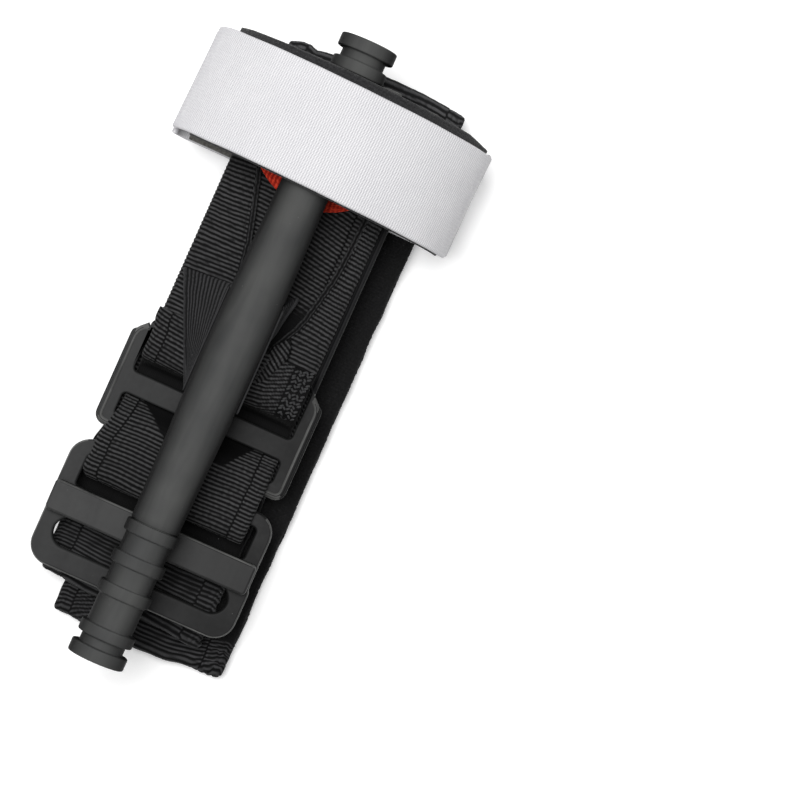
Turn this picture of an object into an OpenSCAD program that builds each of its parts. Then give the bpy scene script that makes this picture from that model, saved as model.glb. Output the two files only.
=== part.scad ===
// Windlass tourniquet, folded flat for carrying, lying on its back.
// X runs across the pack, Y along it towards the clip end, Z up out of the front.
// The origin is on the resting surface, under the middle of the pack's outline.

/* [Windlass rod] */
// Length of the rod from end to end
rod_len = 149.6; // [120:0.2:185]
// Diameter of the barrel at mid-length
rod_d = 12.8; // [10.6:0.1:15.4]
// Diameter where the barrel meets the first grip ridge
barrel_end_d = 11.3; // [9:0.1:12]
// Diameter between the ridges and up to the collar
neck_d = 10.7; // [8:0.1:11]
// Diameter of the grip ridges
ridge_d = 12.4; // [11:0.1:13]
// Width of one grip ridge
ridge_w = 3; // [2:0.1:4]
// Spacing of the grip ridges
ridge_pitch = 7.3; // [5:0.1:8]
// Number of grip ridges at each end
ridge_count = 3; // [1:1:3]
// Distance from the collar back to the middle of the last ridge
ridge_setback = 8.2; // [6:0.1:10]
// Diameter of the collar that keeps the rod from sliding through its clip
collar_d = 12.8; // [11:0.1:13]
// Width of that collar
collar_w = 2.8; // [2:0.1:4]
// Diameter of the groove between the collar and the end flange
groove_d = 10.3; // [8:0.1:11]
// Width of that groove
groove_w = 2.1; // [1.5:0.1:3]
// Diameter of the flange at each end
flange_d = 13.2; // [11:0.1:14]
// Width of that flange
flange_w = 3; // [2:0.1:4]
// Clear length left in the slot beside the tension strap
slot_play = 3.4; // [1:0.1:6]
// Height of the slot
slot_h = 3.6; // [2.5:0.1:5]

/* [Straps] */
// Width of the tension strap
strap_w = 25; // [20:0.5:30]
// Thickness of the tension strap
strap_t = 1; // [0.8:0.1:1.4]
// Width of the sheath webbing
sheath_w = 37.6; // [31:0.2:46]
// Thickness of one layer of the sheath webbing
sheath_t = 0.8; // [0.6:0.1:1.2]
// Thickness of the webbing that loops round the buckle
loop_strap_t = 1.4; // [1:0.1:2]
// Length of the red tip that lies between the windlass and the sheath
tip_len = 28.5; // [20:0.5:40]
// Width of the red tip
tip_w = 35; // [30:0.5:36]
// Thickness of the red tip
tip_t = 1; // [0.8:0.1:1.4]

/* [Base plate] */
// Width of the arms beside the plate's windows
plate_arm_w = 3.9; // [3:0.1:5]
// Thickness of the plate
plate_t = 2.2; // [1.8:0.1:3]
// Length of the plate's wide end
plate_head_len = 24.1; // [22:0.1:30]
// How far the plate's neck reaches past the clip
neck_past_clip = 0; // [0:0.1:4]
// Distance from the rod's middle to the wide end's far edge
plate_reach = 27.1; // [25:0.1:30]
// Width of the crossbar that the buckle webbing passes under
crossbar_w = 5.1; // [4:0.1:6]
// Width of the bar at the wide end's far edge
end_bar_w = 3.1; // [2.5:0.1:4]
// Length of the window between the end bar and the crossbar
low_window_len = 5.6; // [5.4:0.1:7]
// Width of the raised rim along the plate's edges
rim_w = 1.2; // [0.8:0.1:1.6]
// Height of that rim
rim_h = 0.8; // [0.4:0.1:1.2]

/* [Windlass clip] */
// Length of the clip along the rod
clip_len = 21.5; // [15:0.5:22]
// Thickness of the clip's two horns
horn_t = 3.2; // [2.4:0.1:4]
// Thickness of the clip's floor
clip_floor_t = 1.2; // [1:0.1:2]
// Height of the horns above the rod's centre line
horn_rise = 4.3; // [2:0.1:4.6]
// Outward lean of the horns' tips
horn_flare = 1.6; // [0:0.1:2]

/* [Friction buckle] */
// Room beside the webbing in the buckle's upper window
buckle_play = 3.7; // [1:0.1:6]
// Length of the buckle
buckle_len = 30.2; // [28:0.1:36]
// Thickness of the buckle's frame
buckle_t = 3.2; // [2.6:0.1:4]
// Gap between the plate and the buckle
buckle_gap = 3.8; // [2:0.1:8]
// Width of the bar that the buckle webbing loops round
top_bar_w = 3.5; // [3:0.1:5]
// Width of the buckle's side arms
buckle_arm_w = 4.2; // [3.5:0.1:5]
// Width of the raised friction bar
friction_bar_w = 7.1; // [5:0.1:9]
// Height of the friction bar above the frame
friction_bar_h = 3; // [1:0.1:3.4]
// Inset of the friction bar's square ends from the buckle's sides
friction_bar_inset = 0.8; // [0:0.1:2]
// Room beside the band in its slot
band_slot_play = 2.1; // [1:0.1:4]
// Width of the band slot
band_slot_w = 6.8; // [6:0.1:8]
// Width of the buckle's lowest bar
low_bar_w = 5.1; // [4:0.1:7]

/* [Self-adhering band] */
// How much wider the band is than the sheath webbing
band_extra_w = 2.6; // [0:0.1:4]
// Thickness of the band
band_t = 1.8; // [1.5:0.1:2.2]
// Air left between the folded runs
band_gap = 0.8; // [0.6:0.1:0.9]
// Sideways shift of the outer runs against the inner ones
band_shift = 6.4; // [0:0.2:10]
// How far the rod stands past the fold at the clip end
rod_past_top = 5; // [2:0.1:8]
// How far the rod stands past the fold at the buckle end
rod_past_bottom = 4; // [2:0.1:8]
// How far the band's hem shows past the buckle
hem_reveal = 2.9; // [0:0.1:4]

/* [Time strap] */
// Width of the time strap
time_w = 25; // [18:0.5:26]
// Thickness of the time strap
time_t = 1.5; // [1.2:0.1:2]
// Thickness of the soft lining inside the time strap
lining_t = 0.9; // [0.6:0.1:1.2]
// How far the lining shows past the time strap's far edge
lining_reveal = 1.6; // [0:0.1:3]
// How far the closed loop reaches past each side of the plate's neck
loop_side = 12.7; // [11:0.1:20]
// Distance from the clip's middle back to the time strap's middle
time_setback = 5.25; // [0:0.25:8]
// Sideways shift of the strap's loop against the rod
loop_shift = 1.6; // [0:0.1:4]

/* [Hidden] */
// Air between layers that lie on each other
lay = 0.05;
// Air between pieces that move against each other
run_gap = 0.35;
core_x = -loop_shift;
facets = 64;

// Widths
window_w = sheath_w + 1.2;
plate_w = window_w + 2 * plate_arm_w;
neck_w = sheath_w + 0.6 + 2 * rim_w;
buckle_w = sheath_w + buckle_play + 2 * buckle_arm_w;
band_w = sheath_w + band_extra_w;
band_slot_len = band_w + band_slot_play;
fold_w = band_w + band_shift / 2;
fold_x = band_shift * 0.62;
loop_w = neck_w + 2 * loop_side;

// Heights, from the resting surface up
run_pitch = band_t + band_gap;
run1_z = band_t / 2;
run2_z = run1_z + run_pitch;
run3_z = run2_z + run_pitch;
run4_z = run3_z + band_t + 0.3;
pack_top = run4_z + band_t / 2;
back_z = pack_top + 0.1;
plate_z = back_z + max(time_t, loop_strap_t) + 0.1;
plate_top = plate_z + plate_t;
sheath_z = plate_top + lay;
strap_run_z = sheath_z + sheath_t + lay;
sheath_fold_z = strap_run_z + strap_t + lay;
tip_z = sheath_fold_z + sheath_t + lay;
clip_z = tip_z + tip_t + lay;
friction_top = plate_z + buckle_t + friction_bar_h;
cradle_r = max(ridge_d, barrel_end_d) / 2 + 0.4;
rod_z = max(
    clip_z + clip_floor_t - 0.3 + cradle_r,
    tip_z + loop_strap_t + rod_d / 2 + 0.6,
    friction_top + ridge_d / 2 + 0.6
);

// Places along the rod
collar_y = rod_len / 2 - flange_w - groove_w - collar_w;
last_ridge_y = collar_y - ridge_setback;
first_ridge_y = last_ridge_y - (ridge_count - 1) * ridge_pitch;
clip_y1 = collar_y - 0.4;
clip_y0 = clip_y1 - clip_len;
slot_len = strap_w + slot_play;

// Heights of the tension strap's fold above the sheath, at its far and near ends
riser_far_z = 0.6 * loop_strap_t;
riser_near_z = loop_strap_t + 0.9;

// Places on the plate
plate_y0 = -plate_reach;
head_y1 = plate_y0 + plate_head_len;
neck_y1 = clip_y1 + neck_past_clip;
low_window_y0 = plate_y0 + end_bar_w;
low_window_y1 = low_window_y0 + low_window_len;
crossbar_y1 = low_window_y1 + crossbar_w;
window_y1 = head_y1 + 2;
sheath_y0 = window_y1 - 1;
sheath_y1 = neck_y1 - 2.5;

// Places on the buckle
buckle_y1 = plate_y0 - buckle_gap;
buckle_y0 = buckle_y1 - buckle_len;
top_bar_y0 = buckle_y1 - top_bar_w;
slot_y0 = buckle_y0 + low_bar_w;
slot_y1 = slot_y0 + band_slot_w;
friction_y1 = slot_y1 + friction_bar_w;

// Places of the band's folds
band_hem = hem_reveal - buckle_y0;
band_top = rod_len / 2 - rod_past_top;
band_bottom = max(rod_len / 2 - rod_past_bottom, band_hem + 2);

// The time strap's loop
time_y = (clip_y0 + clip_y1) / 2 - time_setback;
time_y0 = time_y - time_w / 2;
time_y1 = time_y + time_w / 2;
loop_a = loop_w / 2 - time_t / 2;
loop_mid_z = plate_z + 2.4;
loop_top = rod_z + max(rod_d, ridge_d) / 2 + run_gap + lining_t + lay + time_t / 2;
back_bend = loop_mid_z - (back_z + time_t / 2);

// Points of an arc in the drawing plane
function arc(c, r, a0, a1, n) =
    [for (i = [0:n]) c + r * [cos(a0 + (a1 - a0) * i / n), sin(a0 + (a1 - a0) * i / n)]];

// Unit normal to the left of the step from a to b
function left_of(a, b) = let (d = b - a) [-d[1], d[0]] / norm(d);

// A path moved sideways by d, with mitred corners
function shifted(p, d) = [
    for (i = [0:len(p) - 1])
        let (
            n1 = i > 0 ? left_of(p[i - 1], p[i]) : left_of(p[0], p[1]),
            n2 = i < len(p) - 1 ? left_of(p[i], p[i + 1]) : n1
        )
        p[i] + d * (n1 + n2) / (1 + n1 * n2)
];

function reversed(p) = [for (i = [len(p) - 1:-1:0]) p[i]];

// Outline of a layer that lies between two sideways distances from a path
function layer(p, d0, d1) = concat(shifted(p, d0), reversed(shifted(p, d1)));

// A drawing in (Y, Z) made into a piece of width w, centred on x
module across(w, x = 0) {
    translate([x - w / 2, 0, 0]) rotate([90, 0, 90]) linear_extrude(w) children();
}

// A drawing in (X, Z) made into a piece between y0 and y1
module along(y0, y1) {
    translate([0, y1, 0]) rotate([90, 0, 0]) linear_extrude(y1 - y0) children();
}

module block(x0, x1, y0, y1, z0, z1) {
    translate([x0, y0, z0]) cube([x1 - x0, y1 - y0, z1 - z0]);
}

// Rectangle with round corners, between two corners
module round_rect(x0, x1, y0, y1, r) {
    translate([x0 + r, y0]) square([x1 - x0 - 2 * r, y1 - y0]);
    translate([x0, y0 + r]) square([x1 - x0, y1 - y0 - 2 * r]);
    for (x = [x0 + r, x1 - r], y = [y0 + r, y1 - r]) translate([x, y]) circle(r, $fn = facets);
}

// ---- Self-adhering band, folded in four runs ----

module band_lower_runs() {
    r = run_pitch / 2;
    path = concat(
        [[neck_y1 - 4, run1_z], [-band_bottom + r + band_t / 2, run1_z]],
        arc([-band_bottom + r + band_t / 2, run1_z + r], r, 262, 98, 10),
        [[-band_bottom + r + band_t / 2, run2_z], [neck_y1 - 8, run2_z]]
    );
    color("#1b1c1f") translate([core_x, 0, 0]) across(band_w, band_shift)
        polygon(layer(path, -band_t / 2, band_t / 2));
}

module band_top_fold() {
    r = run_pitch / 2;
    path = concat(
        [[neck_y1 - 7.9, run2_z], [band_top - r - band_t / 2, run2_z]],
        arc([band_top - r - band_t / 2, run2_z + r], r, -82, 82, 10),
        [[band_top - r - band_t / 2, run3_z], [neck_y1 - 7.9, run3_z]]
    );
    color("#232427") translate([core_x, 0, 0]) across(fold_w, fold_x)
        polygon(layer(path, -band_t / 2, band_t / 2));
}

module band_upper_runs() {
    r = (run4_z - run3_z) / 2;
    path = concat(
        [[neck_y1 - 8, run3_z], [-band_hem + r + band_t / 2, run3_z]],
        reversed(arc([-band_hem + r + band_t / 2, run3_z + r], r, 98, 262, 10)),
        [[-band_hem + r + band_t / 2, run4_z], [neck_y1 - 8, run4_z]]
    );
    color("#2a2b2e") translate([core_x, 0, 0]) across(band_w, -0.6)
        polygon(layer(path, -band_t / 2, band_t / 2));
}

// ---- Plastic parts ----

module plate_outline() {
    round_rect(-plate_w / 2, plate_w / 2, plate_y0, head_y1 - 1.5, 2.6);
    polygon([
        [-plate_w / 2, head_y1 - 4.5], [-plate_w / 2, head_y1 - 2.5], [-neck_w / 2, head_y1],
        [neck_w / 2, head_y1], [plate_w / 2, head_y1 - 2.5], [plate_w / 2, head_y1 - 4.5]
    ]);
    round_rect(-neck_w / 2, neck_w / 2, head_y1 - 5, neck_y1, 3);
}

module base_plate() {
    color("#3b3d40") translate([core_x, 0, 0]) {
        difference() {
            translate([0, 0, plate_z]) linear_extrude(plate_t) plate_outline();
            translate([0, 0, plate_z - 1]) linear_extrude(plate_t + 2) {
                round_rect(-window_w / 2, window_w / 2, low_window_y0, low_window_y1, 1.1);
                round_rect(-window_w / 2, window_w / 2, crossbar_y1, window_y1, 1.1);
            }
        }
        // Raised rims along the neck and the wide end
        for (side = [-1, 1]) {
            rim_x = side * (neck_w / 2 - rim_w / 2);
            block(rim_x - rim_w / 2, rim_x + rim_w / 2, head_y1 - 1, neck_y1 - 4,
                plate_top - 0.2, plate_top + rim_h);
            edge_x = side * (plate_w / 2 - rim_w / 2);
            block(edge_x - rim_w / 2, edge_x + rim_w / 2, plate_y0 + 3, head_y1 - 3,
                plate_top - 0.2, plate_top + rim_h * 0.6);
        }
    }
}

module windlass_clip() {
    outer_r = cradle_r + horn_t;
    tip_top = rod_z + horn_rise;
    floor_top = clip_z + clip_floor_t;
    color("#36383b") translate([core_x, 0, 0]) {
        // Floor and the legs that stand on the plate's rims
        block(-neck_w / 2, neck_w / 2, clip_y0, clip_y1, clip_z, floor_top);
        for (side = [-1, 1]) {
            leg_x = side * (neck_w - rim_w) / 2;
            block(leg_x - rim_w / 2, leg_x + rim_w / 2, clip_y0, min(clip_y1, neck_y1 - 4),
                plate_top + rim_h + lay, floor_top - 0.1);
        }
        // The cradle and its two horns
        along(clip_y0, clip_y1) difference() {
            union() {
                translate([-outer_r, clip_z + 0.2]) square([2 * outer_r, tip_top - 1.5 - clip_z - 0.2]);
                for (side = [-1, 1]) {
                    polygon([
                        [side * outer_r, tip_top - 6], [side * (outer_r + horn_flare), tip_top - 1],
                        [side * (outer_r + horn_flare - 1), tip_top],
                        [side * (cradle_r + 1), tip_top], [side * cradle_r, tip_top - 2]
                    ]);
                    polygon([
                        [side * (outer_r - 0.1), clip_z + 0.2], [side * (outer_r + 3), clip_z + 0.2],
                        [side * (outer_r - 0.1), clip_z + 5]
                    ]);
                }
            }
            translate([0, rod_z]) circle(cradle_r, $fn = facets);
            translate([-cradle_r, rod_z]) square([2 * cradle_r, horn_rise + 1]);
        }
    }
}

module friction_buckle() {
    half = buckle_w / 2;
    bar_half = half - friction_bar_inset;
    color("#3f4144") translate([core_x, 0, 0]) {
        difference() {
            translate([0, 0, plate_z]) linear_extrude(buckle_t)
                round_rect(-half, half, buckle_y0, buckle_y1, 5);
            translate([0, 0, plate_z - 1]) linear_extrude(buckle_t + 2) {
                round_rect(-half + buckle_arm_w, half - buckle_arm_w, friction_y1, top_bar_y0, 1);
                round_rect(-band_slot_len / 2, band_slot_len / 2, slot_y0, slot_y1,
                    band_slot_w / 2 - 0.01);
            }
        }
        // Raised friction bar, with its two upper edges bevelled
        across(2 * bar_half) polygon([
            [slot_y1, plate_z + buckle_t - 0.2], [friction_y1, plate_z + buckle_t - 0.2],
            [friction_y1, friction_top - 0.7], [friction_y1 - 0.7, friction_top],
            [slot_y1 + 0.7, friction_top], [slot_y1, friction_top - 0.7]
        ]);
    }
}

// ---- Windlass rod ----

function barrel_r(y) = barrel_end_d / 2
    + (rod_d - barrel_end_d) / 2 * (1 + cos(180 * y / (first_ridge_y - ridge_w / 2))) / 2;

// Half of the rod's outline, as radius against distance from the middle
function rod_outline() = concat(
    [[0, 0]],
    [for (i = [0:8]) let (y = (first_ridge_y - ridge_w / 2) * i / 8) [barrel_r(y), y]],
    [for (k = [0:ridge_count - 1]) let (y = first_ridge_y + k * ridge_pitch) each [
        [(k == 0 ? barrel_end_d : neck_d) / 2, y - ridge_w / 2 - 0.01],
        [ridge_d / 2 - 0.3, y - ridge_w / 2], [ridge_d / 2, y - ridge_w / 2 + 0.4],
        [ridge_d / 2, y + ridge_w / 2 - 0.4], [ridge_d / 2 - 0.3, y + ridge_w / 2],
        [neck_d / 2, y + ridge_w / 2 + 0.01]
    ]],
    [
        [neck_d / 2, collar_y], [collar_d / 2 - 0.3, collar_y], [collar_d / 2, collar_y + 0.4],
        [collar_d / 2, collar_y + collar_w - 0.4], [collar_d / 2 - 0.3, collar_y + collar_w],
        [groove_d / 2, collar_y + collar_w], [groove_d / 2, rod_len / 2 - flange_w],
        [flange_d / 2 - 0.4, rod_len / 2 - flange_w], [flange_d / 2, rod_len / 2 - flange_w + 0.4],
        [flange_d / 2, rod_len / 2 - 0.6], [flange_d / 2 - 0.6, rod_len / 2], [0, rod_len / 2]
    ]
);

module windlass_rod() {
    color("#44464a") translate([core_x, 0, rod_z]) difference() {
        for (turn = [-90, 90]) rotate([turn, 0, 0])
            rotate_extrude($fn = facets) polygon(rod_outline());
        // Slot for the tension strap, with round ends
        rotate([0, 90, 0]) translate([0, 0, -rod_d]) linear_extrude(2 * rod_d)
            round_rect(-slot_h / 2, slot_h / 2, -slot_len / 2, slot_len / 2, slot_h / 2 - 0.01);
    }
}

// ---- Webbing ----

// The sheath is a flat tube: one layer on the plate and two lips folded over the strap
module sheath_webbing() {
    edge = sheath_w / 2;
    color("#2d2e31") translate([core_x, 0, 0]) {
        block(-edge, edge, sheath_y0, sheath_y1, sheath_z, sheath_z + sheath_t);
        for (side = [-1, 1]) {
            wall = side * (edge - 0.4);
            block(wall - 0.4, wall + 0.4, sheath_y0, sheath_y1,
                sheath_z + sheath_t - 0.1, sheath_fold_z + 0.1);
        }
        translate([0, 0, sheath_fold_z]) linear_extrude(sheath_t) {
            polygon([
                [-edge, sheath_y0], [-edge, sheath_y1], [-11.5, sheath_y1], [-11.2, 40],
                [-6.5, 24], [-5, 14], [-5, sheath_y0]
            ]);
            polygon([
                [edge, sheath_y0], [edge, sheath_y1], [14.3, sheath_y1], [14.1, 38],
                [13.2, 24], [10.5, 11.3], [6.7, 3.7], [6, sheath_y0]
            ]);
        }
    }
}

// Lengthwise seams on the sheath's lips
module sheath_stitching() {
    top = sheath_fold_z + sheath_t;
    color("#4b4c50") translate([core_x, 0, 0]) for (side = [-1, 1], k = [0:9])
        block(side * (sheath_w / 2 - 2.4) - 0.25, side * (sheath_w / 2 - 2.4) + 0.25,
            5 + k * 3, 7 + k * 3, top, top + 0.25);
}

// Webbing from the sheath's end, under the crossbar, over the end bar and round the buckle
function buckle_loop_path() = let (
    t = loop_strap_t, under = back_z + t / 2, over = plate_z + buckle_t + run_gap + t / 2,
    r = (over - under) / 2, bend_y = top_bar_y0 - 1.7
) concat(
    [[head_y1 + 5.4, tip_z + t / 2], [head_y1 - 0.2, tip_z + t / 2]],
    [[crossbar_y1 + 1.2, under + 0.2], [crossbar_y1, under], [low_window_y1 - 0.4, under]],
    [[low_window_y0 + 1.1, plate_top + 0.2 + t / 2], [plate_y0 - 0.4, plate_top + 0.7 + t / 2]],
    [[buckle_y1 + 0.6, over], [bend_y, over]],
    arc([bend_y, under + r], r, 98, 262, 10),
    [[bend_y, under], [low_window_y0 + 2.4, under]]
);

module buckle_loop_webbing() {
    color("#333438") translate([core_x, 0, 0]) across(sheath_w)
        polygon(layer(buckle_loop_path(), -loop_strap_t / 2, loop_strap_t / 2));
}

// Bar tacks that sew the buckle webbing to the sheath
module buckle_loop_stitching() {
    top = tip_z + loop_strap_t;
    color("#55565a") translate([core_x, 0, 0]) for (side = [-1, 1], k = [0:3])
        block(side * (sheath_w / 2 - 3.2) - 1.5, side * (sheath_w / 2 - 3.2) + 1.5,
            head_y1 + 0.4 + k * 1.2, head_y1 + 0.9 + k * 1.2, top, top + 0.25);
}

module red_tip() {
    tip_y1 = sheath_y1;
    round_y = tip_y1 - tip_len + tip_w / 2;
    color("#c8301c") translate([core_x, 0, tip_z]) linear_extrude(tip_t)
        polygon(concat(
            arc([0, round_y], tip_w / 2, 180, 360, facets / 2),
            [[tip_w / 2, tip_y1], [-tip_w / 2, tip_y1]]
        ));
}

// ---- Tension strap, which the rod twists ----

module tension_strap_run() {
    color("#34353a") translate([core_x, 0, 0])
        block(-strap_w / 2, strap_w / 2, sheath_y0 + 1, sheath_y1 - 1,
            strap_run_z, strap_run_z + strap_t);
}

module tension_strap_slot_pass() {
    half = rod_d / 2 + 0.3;
    color("#3a3b40") translate([core_x, 0, 0])
        block(-half, half, -strap_w / 2, strap_w / 2, rod_z - strap_t / 2, rod_z + strap_t / 2);
}

// A flat stretch of strap from the slot's mouth down to a fold line on the sheath
module riser(side, near, far) {
    top_x = side * (rod_d / 2 + 0.7 + strap_t / 2);
    rest_z = sheath_fold_z + sheath_t + 0.2;
    hull() {
        block(top_x - strap_t / 2, top_x + strap_t / 2, -strap_w / 2, strap_w / 2,
            rod_z - strap_t / 2, rod_z + strap_t / 2);
        for (p = [near, far])
            block(p[0] - strap_t / 2, p[0] + strap_t / 2, p[1] - 0.5, p[1] + 0.5,
                rest_z + p[2], rest_z + p[2] + 0.8);
    }
}

module tension_strap_left_riser() {
    color("#3a3b40") translate([core_x, 0, 0])
        riser(-1, [1.8 - sheath_w / 2, strap_w / 2 - 0.5, riser_far_z], [-rod_d / 2 - 2.2, -strap_w / 2 + 4, riser_near_z]);
}

module tension_strap_right_riser() {
    color("#3a3b40") translate([core_x, 0, 0])
        riser(1, [rod_d / 2 + 4, strap_w / 2 - 3, riser_far_z], [rod_d / 2 + 2.4, -strap_w / 2 + 7.6, riser_near_z]);
}

// ---- Time strap ----

// Centre line of the front half, from the hook end over the rod to the hinged end
function front_path(a0, a1) = [
    for (i = [0:32]) let (a = a0 + (a1 - a0) * i / 32)
        [loop_a * cos(a), loop_mid_z + (loop_top - loop_mid_z) * sin(a)]
];

module time_strap_front() {
    color("#e6e6ea") along(time_y0, time_y1)
        polygon(layer(front_path(1.2, 178.8), -time_t / 2, time_t / 2));
}

module time_strap_lining() {
    inner = time_t / 2 + lay;
    color("#4a4b4f") along(time_y0 + 0.6, time_y1 + lining_reveal)
        polygon(layer(front_path(3, 177), inner, inner + lining_t));
}

// Hook patch that holds the front half down
module time_strap_closure() {
    inner = time_t / 2 + 2 * lay + lining_t;
    color("#8c8d92") along(time_y0 + 3, time_y1 - 3)
        polygon(layer(front_path(5, 22), inner, inner + 0.7));
}

module time_strap_back() {
    r = back_bend;
    path = concat(
        arc([-loop_a + r, loop_mid_z], r, 180, 262, 8),
        [[-loop_a + r, back_z + time_t / 2], [loop_a - r, back_z + time_t / 2]],
        arc([loop_a - r, loop_mid_z], r, 278, 360, 8)
    );
    color("#dcdce0") along(time_y0, time_y1) polygon(layer(path, -time_t / 2, time_t / 2));
}

band_lower_runs();
band_top_fold();
band_upper_runs();
base_plate();
windlass_clip();
friction_buckle();
sheath_webbing();
sheath_stitching();
buckle_loop_webbing();
buckle_loop_stitching();
red_tip();
tension_strap_run();
tension_strap_left_riser();
tension_strap_right_riser();
tension_strap_slot_pass();
windlass_rod();
time_strap_back();
time_strap_front();
time_strap_lining();
time_strap_closure();
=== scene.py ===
import bmesh
import bpy
import math
import numpy as np
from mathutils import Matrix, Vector


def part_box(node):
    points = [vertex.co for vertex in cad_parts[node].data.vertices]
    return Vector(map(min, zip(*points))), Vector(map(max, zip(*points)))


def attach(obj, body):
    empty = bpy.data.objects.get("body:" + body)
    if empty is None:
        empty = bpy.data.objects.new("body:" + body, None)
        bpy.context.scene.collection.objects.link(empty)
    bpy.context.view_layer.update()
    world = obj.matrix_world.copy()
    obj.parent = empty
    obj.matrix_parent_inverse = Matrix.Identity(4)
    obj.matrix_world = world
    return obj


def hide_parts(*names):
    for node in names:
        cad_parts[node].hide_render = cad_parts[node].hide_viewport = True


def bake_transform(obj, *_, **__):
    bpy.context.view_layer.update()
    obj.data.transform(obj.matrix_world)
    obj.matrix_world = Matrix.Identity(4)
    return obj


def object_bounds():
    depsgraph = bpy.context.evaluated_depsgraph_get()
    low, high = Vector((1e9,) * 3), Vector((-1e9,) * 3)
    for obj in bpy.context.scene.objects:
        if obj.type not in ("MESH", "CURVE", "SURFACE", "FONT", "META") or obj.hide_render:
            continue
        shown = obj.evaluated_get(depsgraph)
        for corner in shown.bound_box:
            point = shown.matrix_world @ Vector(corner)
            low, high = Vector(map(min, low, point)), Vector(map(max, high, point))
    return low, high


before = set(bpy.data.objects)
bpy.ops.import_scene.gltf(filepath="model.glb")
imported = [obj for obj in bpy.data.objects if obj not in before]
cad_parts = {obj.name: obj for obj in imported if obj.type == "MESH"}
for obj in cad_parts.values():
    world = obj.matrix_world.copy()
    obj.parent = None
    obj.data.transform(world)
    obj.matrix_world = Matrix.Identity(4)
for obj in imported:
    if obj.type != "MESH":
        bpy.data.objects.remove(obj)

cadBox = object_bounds()
perMetre = 1000.0


def corners(node):
    # lowest and highest corner of a CAD node
    low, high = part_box(node)
    return np.array(low) * perMetre, np.array(high) * perMetre


def addObject(name, data):
    # an object in the scene that holds the data
    piece = bpy.data.objects.new(name, data)
    bpy.context.scene.collection.objects.link(piece)
    return piece


rodLow, rodHigh = corners("windlass_rod")
plateLow, plateHigh = corners("base_plate")
sheathLow, sheathHigh = corners("sheath_webbing")
midX = (plateLow[0] + plateHigh[0]) / 2
rodZ = rodLow[2] + (rodHigh[2] - rodLow[2]) / 2
print("frame read, middle line at", round(midX, 2))

# Camera, floor and light

stageLook = {
    "camera": {"offset": (36.5, 5.04, 715.0), "turn": 24.05, "lens": 140.8},
    "floor": {"size": 6000.0, "colour": (0.95, 0.95, 0.95, 1), "glow": 0.22},
    "sky": {"colour": (1, 1, 1, 1), "strength": 0.13},
    "lights": [
        {"name": "key", "at": (-190, 130, 1000), "size": 720, "power": 13.8},
        {"name": "rim", "at": (620, -700, 360), "size": 300, "power": 0.45},
    ],
}


def buildStage(look):
    # camera straight above, pale floor under the lowest point, even sky and two area lights aimed at the middle
    scene = bpy.context.scene
    shot = look["camera"]
    data = bpy.data.cameras.new("camera")
    data.lens, data.sensor_width = shot["lens"], 36
    data.clip_start, data.clip_end = 0.01, 20
    camera = addObject("camera", data)
    camera.location = Vector(shot["offset"]) / perMetre
    camera.rotation_euler = (0, 0, math.radians(shot["turn"]))
    scene.camera = camera
    half = look["floor"]["size"] / 2 / perMetre
    mesh = bpy.data.meshes.new("floor")
    z = cadBox[0].z - 0.0002
    mesh.from_pydata([(-half, -half, z), (half, -half, z), (half, half, z), (-half, half, z)], [], [(0, 1, 2, 3)])
    floor = addObject("floor", mesh)
    paper = bpy.data.materials.new("paleFloor")
    paper.use_nodes = True
    shader = paper.node_tree.nodes["Principled BSDF"]
    shader.inputs["Base Color"].default_value = look["floor"]["colour"]
    shader.inputs["Roughness"].default_value = 0.9
    shader.inputs["Emission Color"].default_value = (1, 1, 1, 1)
    shader.inputs["Emission Strength"].default_value = look["floor"]["glow"]
    mesh.materials.append(paper)
    world = bpy.data.worlds.new("studio")
    world.use_nodes = True
    world.node_tree.nodes["Background"].inputs[0].default_value = look["sky"]["colour"]
    world.node_tree.nodes["Background"].inputs[1].default_value = look["sky"]["strength"]
    scene.world = world
    scene.view_settings.view_transform = "Standard"
    for lamp in look["lights"]:
        light = bpy.data.lights.new(lamp["name"], "AREA")
        light.energy, light.size = lamp["power"], lamp["size"] / perMetre
        holder = addObject(lamp["name"], light)
        holder.location = Vector(lamp["at"]) / perMetre
        holder.rotation_mode = "QUATERNION"
        holder.rotation_quaternion = (-holder.location).to_track_quat("-Z", "Y")


buildStage(stageLook)
print("stage set")

# Paths, fields and grids


def softCorners(points, reach, steps=4):
    # the same polyline, whose corners become quadratic curves that start and end within reach of the corner
    p = np.asarray(points, float)
    back, ahead = p[:-2] - p[1:-1], p[2:] - p[1:-1]
    backLen = np.linalg.norm(back, axis=1, keepdims=True)
    aheadLen = np.linalg.norm(ahead, axis=1, keepdims=True)
    a = p[1:-1] + back / backLen * np.minimum(reach, 0.45 * backLen)
    b = p[1:-1] + ahead / aheadLen * np.minimum(reach, 0.45 * aheadLen)
    t = np.linspace(0, 1, steps + 1)[None, :, None]
    curve = (1 - t) ** 2 * a[:, None] + 2 * t * (1 - t) * p[1:-1, None] + t ** 2 * b[:, None]
    return np.vstack([p[:1], curve.reshape(-1, p.shape[1]), p[-1:]])


def evenSteps(points, step):
    # the same path in equal steps of arc length, with the length reached at each point
    d = np.r_[0, np.cumsum(np.linalg.norm(np.diff(points, axis=0), axis=1))]
    s = np.linspace(0, d[-1], max(3, int(round(d[-1] / step)) + 1))
    return np.stack([np.interp(s, d, points[:, k]) for k in range(points.shape[1])], 1), s


def arcPoints(centre, radius, first, last, count):
    # centre plus radius times the cosine and sine of evenly spread angles
    a = np.radians(np.linspace(first, last, count))
    return np.stack([centre[0] + radius * np.cos(a), centre[1] + radius * np.sin(a)], 1)


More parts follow.
